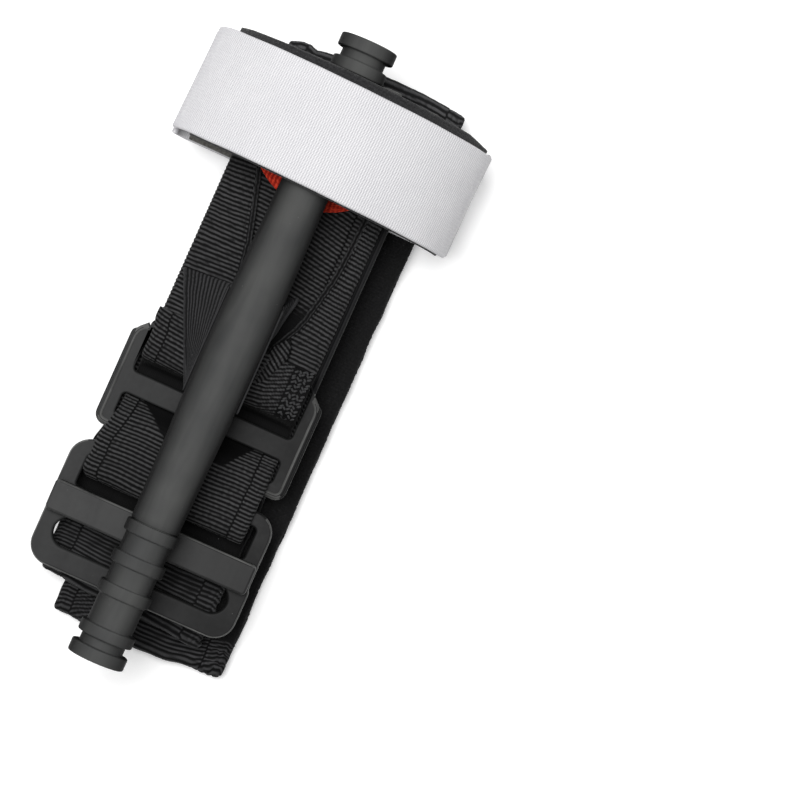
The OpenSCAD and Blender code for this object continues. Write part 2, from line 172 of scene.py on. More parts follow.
def ripple(x, y, scale, seed, waves=8):
    # smooth irregular field of about -1 to 1: seeded sine waves of many directions added up
    draw = np.random.default_rng(seed)
    total = 0 * (x + y)
    for _ in range(waves):
        turn, phase = draw.uniform(0, 2 * np.pi, 2)
        k = 2 * np.pi * draw.uniform(0.6, 1.6) / scale
        total = total + np.sin(k * (x * np.cos(turn) + y * np.sin(turn)) + phase)
    return total / np.sqrt(waves)


def smoothStep(value, low, high):
    # 0 below low, 1 above high, with a soft start and end
    t = np.clip((value - low) / (high - low), 0, 1)
    return t * t * (3 - 2 * t)


def window(value, a, b, c, d):
    # 0 up to a, 1 from b to c, and 0 again from d on
    return smoothStep(value, a, b) * (1 - smoothStep(value, c, d))


def acrossColumns(left, right, coarse, marks=(), edge=3.0):
    # x for each row and column: near each side a column keeps its distance from that side, and the rest share the
    # width; columns stand closer together at the sides and at the marks, which count from the left side
    width = float(np.max(right - left))
    near = np.array([0, 0.1, 0.28, 0.5, 0.8, 1.15, 1.55, 2.0, 2.5]) * min(1, width / 6.5)
    edge = min(edge, 0.45 * width)
    near = near[near < edge]
    inner = np.linspace(edge, width - edge, max(3, int((width - 2 * edge) / coarse)))
    close = np.array([-0.5, -0.3, -0.15, 0, 0.15, 0.3, 0.5])
    around = np.array([m + close for m in marks]).reshape(-1)
    c = np.unique(np.round(np.concatenate([near, inner, width - near, around]), 3))
    c = c[(c >= 0) & (c <= width)]
    c = c[np.r_[True, np.diff(c) > 0.06]]
    c[-1] = width
    left, right = np.asarray(left)[:, None], np.asarray(right)[:, None]
    share = (c - edge) / (width - 2 * edge)
    between = left + edge + share * (right - left - 2 * edge)
    return np.where(c < edge, left + c, np.where(c > width - edge, right - (width - c), between))


def ribField(x, s, left, right, look, along=None):
    # height share of cross ribs, 0 in the furrows and 1 on the ridges: the sine of the way along the webbing, which
    # waves a little, turns into chevrons at the selvedges, leans where slants say and is broken by the seams; where the
    # look has a shade, the share is pressed towards 0, which paints shade in the furrows' dark colour
    pitch = look["pitch"]
    e = np.minimum(x - left, right - x)
    way = s + look.get("wave", 0.25) * ripple(x, s, 17.0, look["seed"])
    way = way + 0.02 * ripple(x, s, 2.6, look["seed"] + 1)
    way = way + look.get("chevron", 0.75) * np.clip(look.get("selvedge", 2.2) - e, 0, None)
    # painted shade where the look's shade says, pressing the ridges down towards the furrows' colour; the seams below
    # add dark joints
    seamsAndShade = 1 - look["shade"](x, along) if "shade" in look else np.ones_like(x)
    for side, distance in look.get("seams", ()):
        offset = (x - left - distance) if side < 0 else (right - x - distance)
        way = way + 0.42 * pitch * smoothStep(-offset, -0.1, 0.1)
        seamsAndShade = seamsAndShade * (1 - 0.6 * np.exp(-(offset / 0.17) ** 2))
    share = smoothStep(along, *look["slantOver"]) if "slantOver" in look and along is not None else 1.0
    for x0, x1, slope in look.get("slants", ()):
        way = way + slope * share * (np.clip(x, x0, x1) - x0)
    ridge = np.abs(np.sin(np.pi * way / pitch)) ** look.get("sharp", 1.0)
    fleck = 1 - 0.16 * (1 + ripple(x, s, 0.9, look["seed"] + 2))
    return np.clip(ridge * seamsAndShade * fleck, 0, 1)


def roundedEdge(e, radius):
    # thickness share near a rim: a quarter circle of the given radius, never quite thin
    t = np.clip(e / radius, 0, 1)
    return 0.22 + 0.78 * np.sqrt(1 - (1 - t) ** 2)


def ribRise(e, half, radius, relief, ridge, least=0.05):
    # half the thickness times the rim's share, less the relief in the furrows
    return np.maximum(half * roundedEdge(e, radius) - relief * (1 - ridge), least)


def plainRibs(way, x, s, pitch, seed, fineness=0.9):
    # height share of ribs that nothing breaks: the sine of the way without its sign, with a fine ripple
    return np.abs(np.sin(np.pi * way / pitch)) * (1 - 0.14 * (1 + ripple(x, s, fineness, seed)))


def placed(x, y, z):
    # points of the frame from x off the middle line, y and z
    return np.stack(np.broadcast_arrays(x + midX, y, z), -1)


# Meshes


def meshObject(name, points, faces, lay=None):
    # points in millimetres, faces as rows of indices, lay as one vector for each point
    mesh = bpy.data.meshes.new(name)
    mesh.from_pydata((np.asarray(points) / perMetre).tolist(), [], [list(f) for f in faces])
    if lay is not None:
        note = mesh.attributes.new("lay", "FLOAT_VECTOR", "POINT")
        note.data.foreach_set("vector", np.asarray(lay, np.float32).ravel())
    shadeSmooth(mesh)
    mesh.update()
    return addObject(name, mesh)


def shadeSmooth(mesh):
    # every face shaded smooth
    mesh.polygons.foreach_set("use_smooth", np.full(len(mesh.polygons), True))


def quadRows(a, b, c, d):
    # one row of four corner indices for each face
    return np.stack([a, b, c, d], -1).reshape(-1, 4)


def slab(name, middle, rise, fall, lay):
    # a closed sheet round a middle surface: grid points moved along the surface normal by rise, and the other way by
    # fall, with a rim that joins both; lay holds across, along and relief for each grid point
    normal = np.cross(np.gradient(middle, axis=0), np.gradient(middle, axis=1))
    normal /= np.maximum(np.linalg.norm(normal, axis=2, keepdims=True), 1e-9)
    rows, cols = middle.shape[:2]
    top = np.arange(rows * cols).reshape(rows, cols)
    low = top + rows * cols
    points = np.concatenate([(middle + normal * rise[..., None]).reshape(-1, 3),
                             (middle - normal * fall[..., None]).reshape(-1, 3)])
    faces = np.concatenate([
        quadRows(top[:-1, :-1], top[1:, :-1], top[1:, 1:], top[:-1, 1:]),
        quadRows(low[:-1, :-1], low[:-1, 1:], low[1:, 1:], low[1:, :-1]),
        quadRows(top[0, :-1], top[0, 1:], low[0, 1:], low[0, :-1]),
        quadRows(top[-1, 1:], top[-1, :-1], low[-1, :-1], low[-1, 1:]),
        quadRows(top[1:, 0], top[:-1, 0], low[:-1, 0], low[1:, 0]),
        quadRows(top[:-1, -1], top[1:, -1], low[1:, -1], low[:-1, -1]),
    ])
    flat = lay.reshape(-1, 3)
    return meshObject(name, points, faces, np.concatenate([flat, flat]))


def webbingStrip(name, path, left, right, look):
    # webbing whose middle line is a path in y and z, carried between two side edges, ribbed on both faces
    line, s = evenSteps(softCorners(path, look.get("bend", 1.5)), look["pitch"] / look.get("fine", 7))
    left = np.broadcast_to(left(line) if callable(left) else left, s.shape).astype(float)
    right = np.broadcast_to(right(line) if callable(right) else right, s.shape).astype(float)
    left = left + 0.1 * ripple(s, 0 * s, 5.0, look["seed"] + 5)
    right = right + 0.1 * ripple(s, 0 * s, 5.0, look["seed"] + 6)
    marks = [d if side < 0 else float(np.max(right - left)) - d for side, d in look.get("seams", ())]
    x = acrossColumns(left, right, look.get("coarse", 1.1), marks)
    along = np.broadcast_to(s[:, None], x.shape)
    y = line[:, :1] + (look["bow"](x, line[:, :1], line[:, 1:]) if "bow" in look else 0 * x)
    middle = placed(x, y, line[:, 1:])
    ridge = ribField(x, along, left[:, None], right[:, None], look, line[:, :1])
    ends = np.minimum(along, s[-1] - along)
    e = np.minimum(np.minimum(x - left[:, None], right[:, None] - x), ends)
    half = look["thick"] / 2
    rise = ribRise(e, half, half * 1.2, look["relief"], ridge)
    return slab(name, middle, rise, rise, np.stack([x, along, ridge], -1))


def stitches(name, starts, ends, radius):
    # short thread stitches: each is a six-sided tube from its start to its end, raised by 0.7 of its radius times a
    # sine along it
    starts, ends = np.asarray(starts, float), np.asarray(ends, float)
    t = np.array([0, 0.18, 0.5, 0.82, 1.0])
    swell = np.array([0.55, 0.95, 1.0, 0.95, 0.55])
    reach = ends - starts
    centre = starts[:, None] + reach[:, None] * t[None, :, None]
    centre[..., 2] += 0.7 * radius * (np.sin(np.pi * t) - 0.6)
    direction = reach / np.linalg.norm(reach, axis=1, keepdims=True)
    side = np.cross(direction, [0, 0, 1.0])
    side /= np.linalg.norm(side, axis=1, keepdims=True)
    up = np.cross(side, direction)
    a = np.arange(6) * np.pi / 3
    ring = (np.cos(a)[None, None, :, None] * side[:, None, None] + np.sin(a)[None, None, :, None] * up[:, None, None])
    points = centre[:, :, None] + ring * (radius * swell)[None, :, None, None]
    count = len(starts)
    index = np.arange(count * 30).reshape(count, 5, 6)
    ahead = np.roll(index, -1, axis=2)
    sides = quadRows(index[:, :-1], index[:, 1:], ahead[:, 1:], ahead[:, :-1])
    caps = np.concatenate([index[:, 0, :], index[:, -1, ::-1]])
    lay = np.zeros((count * 30, 3))
    lay[:, 1] = np.tile(np.repeat(t, 6), count) * 2.0
    lay[:, 2] = 1
    return meshObject(name, points.reshape(-1, 3), sides.tolist() + caps.tolist(), lay)


def finishPiece(piece, material, nodes, body=None):
    # material, replaced CAD nodes and the body the piece rides on
    piece.data.materials.clear()
    piece.data.materials.append(material)
    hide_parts(*nodes)
    if body:
        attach(piece, body)
    return piece


# Shader groups and materials


class Field:
    # a shader output that can be added, scaled and shaped like a number
    def __init__(self, socket):
        self.socket, self.tree = socket, socket.id_data

    def reckon(self, operation, other=0.0, clamp=False):
        return addNode(self.tree, "Math", {"operation": operation, "use_clamp": clamp}, i0=self, i1=other)

    def __add__(self, other):
        return self.reckon("ADD", other)

    def __sub__(self, other):
        return self.reckon("SUBTRACT", other)

    def __mul__(self, other):
        return self.reckon("MULTIPLY", other)

    def __truediv__(self, other):
        return self.reckon("DIVIDE", other)

    def spread(self, low, high, toLow=0.0, toHigh=1.0, smooth=False):
        # low to high carried over to toLow to toHigh, and held outside
        kind = {"interpolation_type": "SMOOTHSTEP" if smooth else "LINEAR"}
        return addNode(self.tree, "MapRange", kind, Value=self, From_Min=low, From_Max=high,
                       To_Min=toLow, To_Max=toHigh)

    def wave(self, radians):
        # sine of the field from 0 to 1, with so many radians to each unit
        return (self * radians).reckon("SINE").spread(-1, 1)

    def split(self):
        return [Field(out) for out in addNode(self.tree, "SeparateXYZ", Vector=self).socket.node.outputs]


def fillSocket(socket, value):
    # a link from a field, or the plain value itself
    if isinstance(value, Field):
        value.tree.links.new(value.socket, socket)
    else:
        socket.default_value = value


def addNode(tree, kind, settings=None, output=0, **links):
    # one output of a node with its settings, whose inputs, named or numbered, take a field or a plain value
    node = tree.nodes.new("ShaderNode" + kind)
    for key, value in (settings or {}).items():
        setattr(node, key, value)
    for key, value in links.items():
        fillSocket(node.inputs[int(key[1:]) if key[1:].isdigit() else key.replace("_", " ")], value)
    return Field(node.outputs[output])


def noise(place, scale, detail=2.0, **more):
    # soft noise from 0 to 1, scale features to a unit
    return addNode(place.tree, "TexNoise", Vector=place, Scale=scale, Detail=detail, **more)


def specks(place, scale, low, high):
    # soft spots round the middles of cells
    return addNode(place.tree, "TexVoronoi", Vector=place, Scale=scale).spread(low, high, 1.0, 0.0, True)


def objectPlace(tree):
    # Object coordinates, in metres
    return addNode(tree, "TexCoord", output="Object")


def layPlace(tree):
    # the mesh's own lay: across, along and relief
    return addNode(tree, "Attribute", {"attribute_name": "lay"}, "Vector")


def mixColour(share, a, b):
    # a where the share is 0, b where it is 1
    return addNode(share.tree, "Mix", {"data_type": "RGBA"}, 2, i0=share, i6=a, i7=b)


def newGroup(name, inputs, build):
    # a group of numbers: inputs by name with their defaults, outputs by name as build gives them
    group = bpy.data.node_groups.new(name, "ShaderNodeTree")
    for label, value in inputs.items():
        group.interface.new_socket(name=label, in_out="INPUT", socket_type="NodeSocketFloat").default_value = value
    source = group.nodes.new("NodeGroupInput")
    made = build(group, *[Field(source.outputs[label]) for label in inputs])
    for label in made:
        group.interface.new_socket(name=label, in_out="OUTPUT", socket_type="NodeSocketFloat")
    result = group.nodes.new("NodeGroupOutput")
    for label, field in made.items():
        fillSocket(result.inputs[label], field)
    return group


def yarnFields(group, width, unevenness):
    # fine yarns across and along webbing, from its own lay in millimetres, with uneven tone
    lay = layPlace(group)
    across, _, ridge = lay.split()
    yarn = ((across / width + noise(lay, 1.3) * 1.6) * math.pi).reckon("SINE").reckon("ABSOLUTE")
    fuzz = noise(lay, 5.5, 4.0)
    tone = (noise(lay, 0.11, 3.0) - 0.5) * unevenness + yarn * 0.22 + fuzz * 0.35
    return {"Height": yarn * 0.6 + fuzz * 0.7, "Tone": tone, "Ridge": ridge}


def mouldFields(group, grainScale, streaks, pits):
    # moulded plastic: fine grain, soft flow streaks along y and a few pits, from Object coordinates
    place = objectPlace(group)
    grain, cloud = noise(place, grainScale, 3.0), noise(place, 95.0)
    drawn = addNode(group, "Mapping", Vector=place, Scale=(330.0, 42.0, 330.0))
    tone = (noise(drawn, 1.0, 3.0, Distortion=0.6) - 0.5) * streaks + (cloud - 0.5) * 1.5
    height = grain * 0.6 - specks(place, 260.0, 0.04, 0.13) * pits * 0.5
    return {"Height": height, "Tone": tone, "Dull": cloud + grain * 0.3}


def lintFields(group, amount):
    # pale lint and specks, from Object coordinates, as a mask
    place = objectPlace(group)
    return {"Mask": specks(place, 620.0, 0.02, 0.10) * noise(place, 140.0).spread(0.58, 0.72) * amount}


yarnGroup = newGroup("yarn", {"Yarn Width": 0.4, "Unevenness": 1.0}, yarnFields)
mouldGroup = newGroup("mould", {"Grain": 900.0, "Streak": 1.0, "Pits": 1.0}, mouldFields)
lintGroup = newGroup("lint", {"Amount": 0.5}, lintFields)


def groupFields(tree, group, *values):
    # the group's outputs by name, with its inputs set in their order
    node = tree.nodes.new("ShaderNodeGroup")
    node.node_tree = group
    for socket, value in zip(node.inputs, values):
        socket.default_value = value
    return {out.name: Field(out) for out in node.outputs}


def withLint(colour, amount, pale=(0.3, 0.3, 0.3, 1)):
    # the colour with pale lint laid over it by the lint group's mask
    return mixColour(groupFields(colour.tree, lintGroup, amount)["Mask"], colour, pale)


def newMaterial(name, rough, specular, sheen=0.0, sheenRough=0.5):
    # a material and its node tree, with the plain values of its shader set
    material = bpy.data.materials.new(name)
    material.use_nodes = True
    shader = material.node_tree.nodes["Principled BSDF"]
    for label, value in (("Roughness", rough), ("Specular IOR Level", specular), ("Sheen Weight", sheen),
                         ("Sheen Roughness", sheenRough)):
        shader.inputs[label].default_value = value
    return material, material.node_tree


def dress(material, colour, rough, height, strength, distance):
    # colour, roughness and bump led into the material's shader, the bump's distance in millimetres
    bump = addNode(height.tree, "Bump", Height=height, Strength=strength, Distance=distance / perMetre)
    inputs = material.node_tree.nodes["Principled BSDF"].inputs
    for label, field in (("Base Color", colour), ("Roughness", rough), ("Normal", bump)):
        fillSocket(inputs[label], field)
    return material


def clothMaterial(name, furrowShade, ridge, pale, rough, specular, sheen, yarn, uneven, lint, bump):
    # ribbed webbing: furrows darker than ridges, which paints shade in them, yarn relief, uneven dye and a little lint
    material, tree = newMaterial(name, rough, specular, sheen, 0.4)
    out = groupFields(tree, yarnGroup, yarn, uneven)
    share, tone = out["Ridge"].spread(0.34, 0.92, smooth=True), out["Tone"]
    colour = mixColour(tone.spread(0.0, 0.7), mixColour(share, furrowShade, ridge), mixColour(share, furrowShade, pale))
    return dress(material, withLint(colour, lint, (0.35, 0.35, 0.36, 1)),
                 tone.spread(0.0, 0.8, rough - 0.08, rough + 0.08), out["Height"], bump, 0.12)


def plasticMaterial(name, dark, light, wornAndLit, rough, specular, grain, streak, pits, wearAndHighlight, falloff, roundShade, lint, bump):
    # moulded plastic with grain, flow streaks, painted shade where asked for, and pale edges where their amount is
    # above nought, which are partly wear and partly painted highlight
    material, tree = newMaterial(name, rough, specular)
    out = groupFields(tree, mouldGroup, grain, streak, pits)
    place, shadeBlack = objectPlace(tree), (0.003, 0.003, 0.0031, 1)
    colour = mixColour(out["Tone"].spread(-0.35, 0.45), dark, light)
    if falloff:  # painted shade: paler towards -x and darker towards +x, the side away from the key light
        colour = mixColour(place.split()[0].spread(-0.024, 0.022, 0.0, falloff), colour, shadeBlack)
    if roundShade:  # painted shade: base colour on top and black at the sides and underneath, as the overhead light falls; the upward share of the direction from the rod's middle line
        centre = ((-midX - 0.8) / perMetre, 0, -rodZ / perMetre)
        outward = addNode(tree, "Mapping", Vector=place, Location=centre, Scale=(1, 0, 1))
        upward = addNode(tree, "VectorMath", {"operation": "NORMALIZE"}, Vector=outward).split()[2]
        colour = mixColour(upward.spread(0.44, 0.99, roundShade, 0.0), colour, shadeBlack)
    # pale edges: partly wear, partly painted highlight on the tilted faces
    if wearAndHighlight:
        colour = mixColour(out["Dull"].spread(0.45, 0.85, 0.25, 1.0) * wearAndHighlight, colour, wornAndLit)
    return dress(material, withLint(colour, lint), out["Dull"].spread(0.4, 0.9, rough - 0.07, rough + 0.1),
                 out["Height"], bump, 0.1)


def pileMaterial(name, dark, light, loop, row, rowTone, sheen, depth):
    # pile and hook faces: deep matte tangle, darker between the loops, which paints shade there, with faint rows
    material, tree = newMaterial(name, 0.95, 0.15, sheen, 0.6)
    loops = noise(objectPlace(tree), loop, 5.0, Roughness=0.75)
    lay = layPlace(tree)
    _, along, height = lay.split()
    rows = along.wave(2 * math.pi / row) * noise(lay, 2.2).spread(0.35, 0.65) * height.spread(0.2, 0.7, 0.1, 1.0)
    tone = (loops.spread(0.35, 0.7, 0.0, 0.75) + rows * rowTone).reckon("MULTIPLY", 1.0, True)
    return dress(material, withLint(mixColour(tone, dark, light), 0.25), loops.spread(0.3, 0.7, 0.85, 1.0),
                 loops + rows * 0.4, 0.9, depth)


def tapeMaterial(name, dark, light, pitch, floatLong):
    # white twill tape: fine cross lines broken into short slanted floats, faint yarn tone, soft and matte
    material, tree = newMaterial(name, 0.82, 0.25, 0.1, 0.5)
    lay = layPlace(tree)
    across, along, _ = lay.split()
    way = across / pitch + noise(lay, 0.5) * 0.9
    line, short = way.wave(2 * math.pi), (way + along / floatLong).wave(2 * math.pi)
    fuzz, broad = noise(lay, 4.0, 4.0), noise(lay, 0.09, 3.0)
    tone = (line * 0.5 + short * 0.25 + (fuzz - 0.35) * 0.9).reckon("ADD", (broad - 0.5) * 0.15, True)
    return dress(material, mixColour(tone, dark, light), fuzz.spread(0.3, 0.7, 0.75, 0.9), line * 0.6 + fuzz * 0.5,
                 0.55, 0.08)


black = {"furrowShade": (0.0011, 0.0011, 0.0012, 1), "ridge": (0.036, 0.036, 0.037, 1), "pale": (0.062, 0.062, 0.063, 1),
         "rough": 0.78, "specular": 0.12, "sheen": 0.03, "yarn": 0.42, "uneven": 1.0, "lint": 0.35, "bump": 0.5}
ribbedBlack = clothMaterial("ribbedWebbing", **black)
strapBlack = clothMaterial("strapWebbing", **{
    **black, "ridge": (0.025, 0.025, 0.026, 1), "pale": (0.042, 0.042, 0.044, 1), "furrowShade": (0.004, 0.004, 0.0043, 1),
    "yarn": 0.34})
bandBlack = clothMaterial("bandWebbing", **{
    **black, "ridge": (0.030, 0.030, 0.031, 1), "pale": (0.050, 0.050, 0.052, 1)})
# painted light: a paler copy of the band's webbing, for the top fold
litFoldBlack = clothMaterial("litFoldWebbing", **{
    **black, "furrowShade": (0.008, 0.008, 0.0085, 1), "ridge": (0.055, 0.055, 0.057, 1), "pale": (0.09, 0.09, 0.093, 1)})
redCloth = clothMaterial("redWebbing", **{
    **black, "furrowShade": (0.3, 0.012, 0.006, 1), "ridge": (0.8, 0.05, 0.018, 1), "pale": (0.85, 0.09, 0.045, 1),
    "yarn": 0.5, "lint": 0.2})
threadBlack = clothMaterial("sewingThread", **{
    **black, "furrowShade": (0.01, 0.01, 0.011, 1), "ridge": (0.03, 0.03, 0.031, 1), "pale": (0.058, 0.058, 0.06, 1),
    "yarn": 0.2, "rough": 0.6, "lint": 0.3})
plastic = {"dark": (0.012, 0.012, 0.0125, 1), "light": (0.031, 0.0315, 0.0315, 1), "wornAndLit": (0.2, 0.2, 0.195, 1),
           "rough": 0.57, "specular": 0.19, "grain": 900.0, "streak": 0.5, "pits": 0.35, "wearAndHighlight": 0.0, "falloff": 0.9,
           "roundShade": 0.0, "lint": 0.3, "bump": 0.22}
platePlastic = plasticMaterial("mouldedPlastic", **plastic)
# the edge copy of the plastic, pale on its tilted faces: partly wear, partly painted highlight
plateEdge = plasticMaterial("mouldedEdge", **{**plastic, "wearAndHighlight": 0.5})
barPlastic = plasticMaterial("mouldedBar", **{
    **plastic, "dark": (0.018, 0.018, 0.0185, 1), "light": (0.046, 0.0465, 0.046, 1), "falloff": 0.6, "specular": 0.34})
# painted shade: a darker, rougher copy of the plastic for the plate's neck
plateShade = plasticMaterial("mouldedNeckShade", **{
    **plastic, "falloff": 0.0, "dark": (0.004, 0.004, 0.0045, 1), "light": (0.013, 0.013, 0.0135, 1), "rough": 0.7,
    "specular": 0.15})
# painted shade: the rod turns black towards its sides and underside
rodPlastic = plasticMaterial("rodPlastic", **{
    **plastic, "falloff": 0.0, "streak": 1.1, "rough": 0.66, "bump": 0.16, "pits": 0.25, "specular": 0.1, "roundShade": 0.95,
    "dark": (0.05, 0.051, 0.051, 1), "light": (0.074, 0.075, 0.073, 1)})
pileBlack = pileMaterial("pileFace", (0.0014, 0.0014, 0.0015, 1), (0.014, 0.014, 0.0145, 1), loop=1900.0, row=0.62,
                         rowTone=0.35, sheen=0.04, depth=0.35)
liningPale = pileMaterial("backLining", (0.08, 0.077, 0.072, 1), (0.27, 0.262, 0.245, 1), loop=1500.0, row=0.9,
                          rowTone=0.2, sheen=0.1, depth=0.15)
liningDark = pileMaterial("strapLining", (0.006, 0.006, 0.0065, 1), (0.04, 0.04, 0.042, 1), loop=2300.0, row=0.7,
                          rowTone=0.2, sheen=0.15, depth=0.3)
hookGrey = pileMaterial("hookPatch", (0.10, 0.10, 0.105, 1), (0.32, 0.32, 0.33, 1), loop=1500.0, row=1.0,
                        rowTone=0.5, sheen=0.1, depth=0.4)
whiteTape = tapeMaterial("whiteTwill", (0.41, 0.405, 0.43, 1), (0.80, 0.795, 0.805, 1), pitch=0.56, floatLong=0.9)
print("materials built")

# Rod

rodLook = {"shorter": 0.6, "thickest": 12.8, "barrelEnd": 11.3, "neck": 10.7, "ridge": 12.4, "ridgeWide": 3.0,
           "ridges": (44.1, 51.4, 58.7), "collar": (66.9, 69.7), "collarWide": 12.8, "groove": 10.3,
           "flange": (71.8, 74.8), "flangeWide": 13.2, "slotLong": 28.4, "slotHigh": 2.4, "around": 112}


def rodOutline(look):
    # half of the rod's profile as distance from the middle against radius, with rounded shoulders
    thick, thin, neck, groove = (look[key] / 2 for key in ("thickest", "barrelEnd", "neck", "groove"))
    ends = look["ridges"][0] - look["ridgeWide"] / 2
    y = np.linspace(0, ends - 0.35, 30)
    r = thin + (thick - thin) * (1 + np.cos(np.pi * y / ends)) / 2
    body = np.stack([y, r], 1)
    shape = [(ends, neck)]
    for middle in look["ridges"]:
        a, b, r = middle - look["ridgeWide"] / 2, middle + look["ridgeWide"] / 2, look["ridge"] / 2
        shape += [(a + 0.08, neck), (a + 0.1, r), (b - 0.1, r), (b - 0.08, neck)]
    (a, b), r = look["collar"], look["collarWide"] / 2
    shape += [(a + 0.03, neck), (a + 0.05, r), (b - 0.05, r), (b, groove)]
    (a, b), r = look["flange"], look["flangeWide"] / 2
    shape += [(a, groove), (a + 0.05, r), (b, r), (b, 2.6), (b - 0.5, 2.2), (b - 0.5, 0.02)]
    return np.vstack([body, softCorners(np.array([body[-1]] + shape), 0.42, 5)[1:]])


def buildRod(look):
    # the outline turned round the y axis on both sides of the middle, faint parting line and waviness added
    half = rodOutline(look)
    y = np.r_[-half[::-1, 0], half[1:, 0]]
    r = np.r_[half[::-1, 1], half[1:, 1]]
    a = np.arange(look["around"]) * 2 * np.pi / look["around"]
    rows, cols = len(y), len(a)
    y = y - look["shorter"] * smoothStep(y, 40, 60)
    radius = r[:, None] + 0 * a[None]
    skin = smoothStep(radius, 4, 5)
    radius = radius + skin * 0.012 * np.exp(-(np.sin(a)[None] / 0.03) ** 2)
    radius = radius + skin * 0.03 * ripple(y[:, None] + 0 * a, 12 * np.cos(a)[None] + 0 * y[:, None], 16, 3)
    points = placed(radius * np.cos(a), y[:, None], rodZ + radius * np.sin(a))
    index = np.arange(rows * cols).reshape(rows, cols)
    ahead = np.roll(index, -1, axis=1)
    faces = quadRows(index[:-1], index[1:], ahead[1:], ahead[:-1]).tolist()
    faces += [index[0].tolist(), index[-1, ::-1].tolist()]
    rod = meshObject("windlass_rod_body", points.reshape(-1, 3), faces)
    # the slot's cutter: a bar along x whose section is a long hole
    reach, r = look["slotLong"] / 2 - look["slotHigh"] / 2, look["slotHigh"] / 2
    ring = np.vstack([arcPoints((reach, 0), r, -90, 90, 13), arcPoints((-reach, 0), r, 90, 270, 13)])
    n = len(ring)
    bar = np.concatenate([np.c_[np.full(n, midX + side * 12), ring[:, 0], rodZ + ring[:, 1]] for side in (-1, 1)])
    i = np.arange(n)
    walls = quadRows(i, (i + 1) % n, (i + 1) % n + n, i + n).tolist()
    cutter = meshObject("cutter", bar, walls + [i[::-1].tolist(), (i + n).tolist()])
    cleanNormals(cutter)
    cleanNormals(rod)
    cut = rod.modifiers.new("slot", "BOOLEAN")
    cut.object, cut.operation, cut.solver = cutter, "DIFFERENCE", "EXACT"
    bakeModifiers(rod)
    bpy.data.objects.remove(cutter)
    rod.data.set_sharp_from_angle(angle=math.radians(50))
    return rod


def cleanNormals(piece):
    # every face of a closed mesh turned outwards
    shape = bmesh.new()
    shape.from_mesh(piece.data)
    bmesh.ops.recalc_face_normals(shape, faces=shape.faces)
    shape.to_mesh(piece.data)
    shape.free()


def bakeModifiers(piece):
    # the mesh as its modifiers leave it
    bpy.context.view_layer.update()
    seen = piece.evaluated_get(bpy.context.evaluated_depsgraph_get())
    mesh = bpy.data.meshes.new_from_object(seen)
    piece.modifiers.clear()
    piece.data = mesh


rod = buildRod(rodLook)
finishPiece(rod, rodPlastic, ["windlass_rod"], "windlass")
print("rod turned")

# Plate, clip and buckle

plateLook = {"darkFrom": -1.2, "edge": 0.45, "thick": 2.2, "corner": 2.6, "neck": 20.3, "leftNeck": 18.2,
             "neckCorner": 3.0, "shoulder": (-4.4, -2.6), "top": 66.5,
             "window": 19.4, "windows": ((-24.0, -18.4), (-13.3, -1.0)), "windowCorner": 1.1,
             "rail": {"x": 19.7, "from": -1.5, "to": 62.5, "wide": 1.15, "tall": 0.8},
             "rim": {"inset": 0.95, "wide": 1.3, "tall": 0.42}}
buckleLook = {"edge": 0.55, "corner": 5.0, "top": 14.0, "step": 0.45, "stepAt": -47.6,
              "window": (20.65, -42.1, -34.4, 1.0), "slot": (21.15, -56.0, -49.2, 3.38),
              "leftOut": 0.45,
              "bar": {"x": 24.15, "left": 24.75, "from": -49.3, "to": -42.0, "edge": 0.6, "slope": 0.12}}
clipLook = {"edge": 0.45}


def roundedRing(x0, y0, x1, y1, r, count=9):
    # a rectangle whose corners are quarter circles, as one closed ring
    return np.vstack([arcPoints((x1 - r, y1 - r), r, 0, 90, count), arcPoints((x0 + r, y1 - r), r, 90, 180, count),
                      arcPoints((x0 + r, y0 + r), r, 180, 270, count), arcPoints((x1 - r, y0 + r), r, 270, 360, count)])


def cutSheet(outline, holes, z0, z1, edge, slope=0.0):
    # a flat curve with holes, thickened with a rounded edge, made a mesh, then set at its height; its top may lean in y
    curve = bpy.data.curves.new("outline", "CURVE")
    curve.dimensions, curve.fill_mode, curve.bevel_resolution = "2D", "BOTH", 3
    curve.extrude, curve.bevel_depth, curve.offset = (z1 - z0) / 2 - edge, edge, -edge
    for ring in [outline] + list(holes):
        spline = curve.splines.new("POLY")
        spline.points.add(len(ring) - 1)
        spline.points.foreach_set("co", np.c_[ring, np.zeros(len(ring)), np.ones(len(ring))].ravel())
        spline.use_cyclic_u = True
    holder = addObject("outline", curve)
    bpy.context.view_layer.update()
    mesh = bpy.data.meshes.new_from_object(holder.evaluated_get(bpy.context.evaluated_depsgraph_get()))
    bpy.data.objects.remove(holder)
    points = np.empty(len(mesh.vertices) * 3)
    mesh.vertices.foreach_get("co", points)
    points = points.reshape(-1, 3)
    lean = slope * (points[:, 1] - np.max(points[:, 1])) * (points[:, 2] > 0)
    points = points + np.array([midX, 0, (z0 + z1) / 2]) + np.c_[0 * lean, 0 * lean, lean]
    mesh.vertices.foreach_set("co", (points / perMetre).ravel())
    mesh.update()
    return mesh


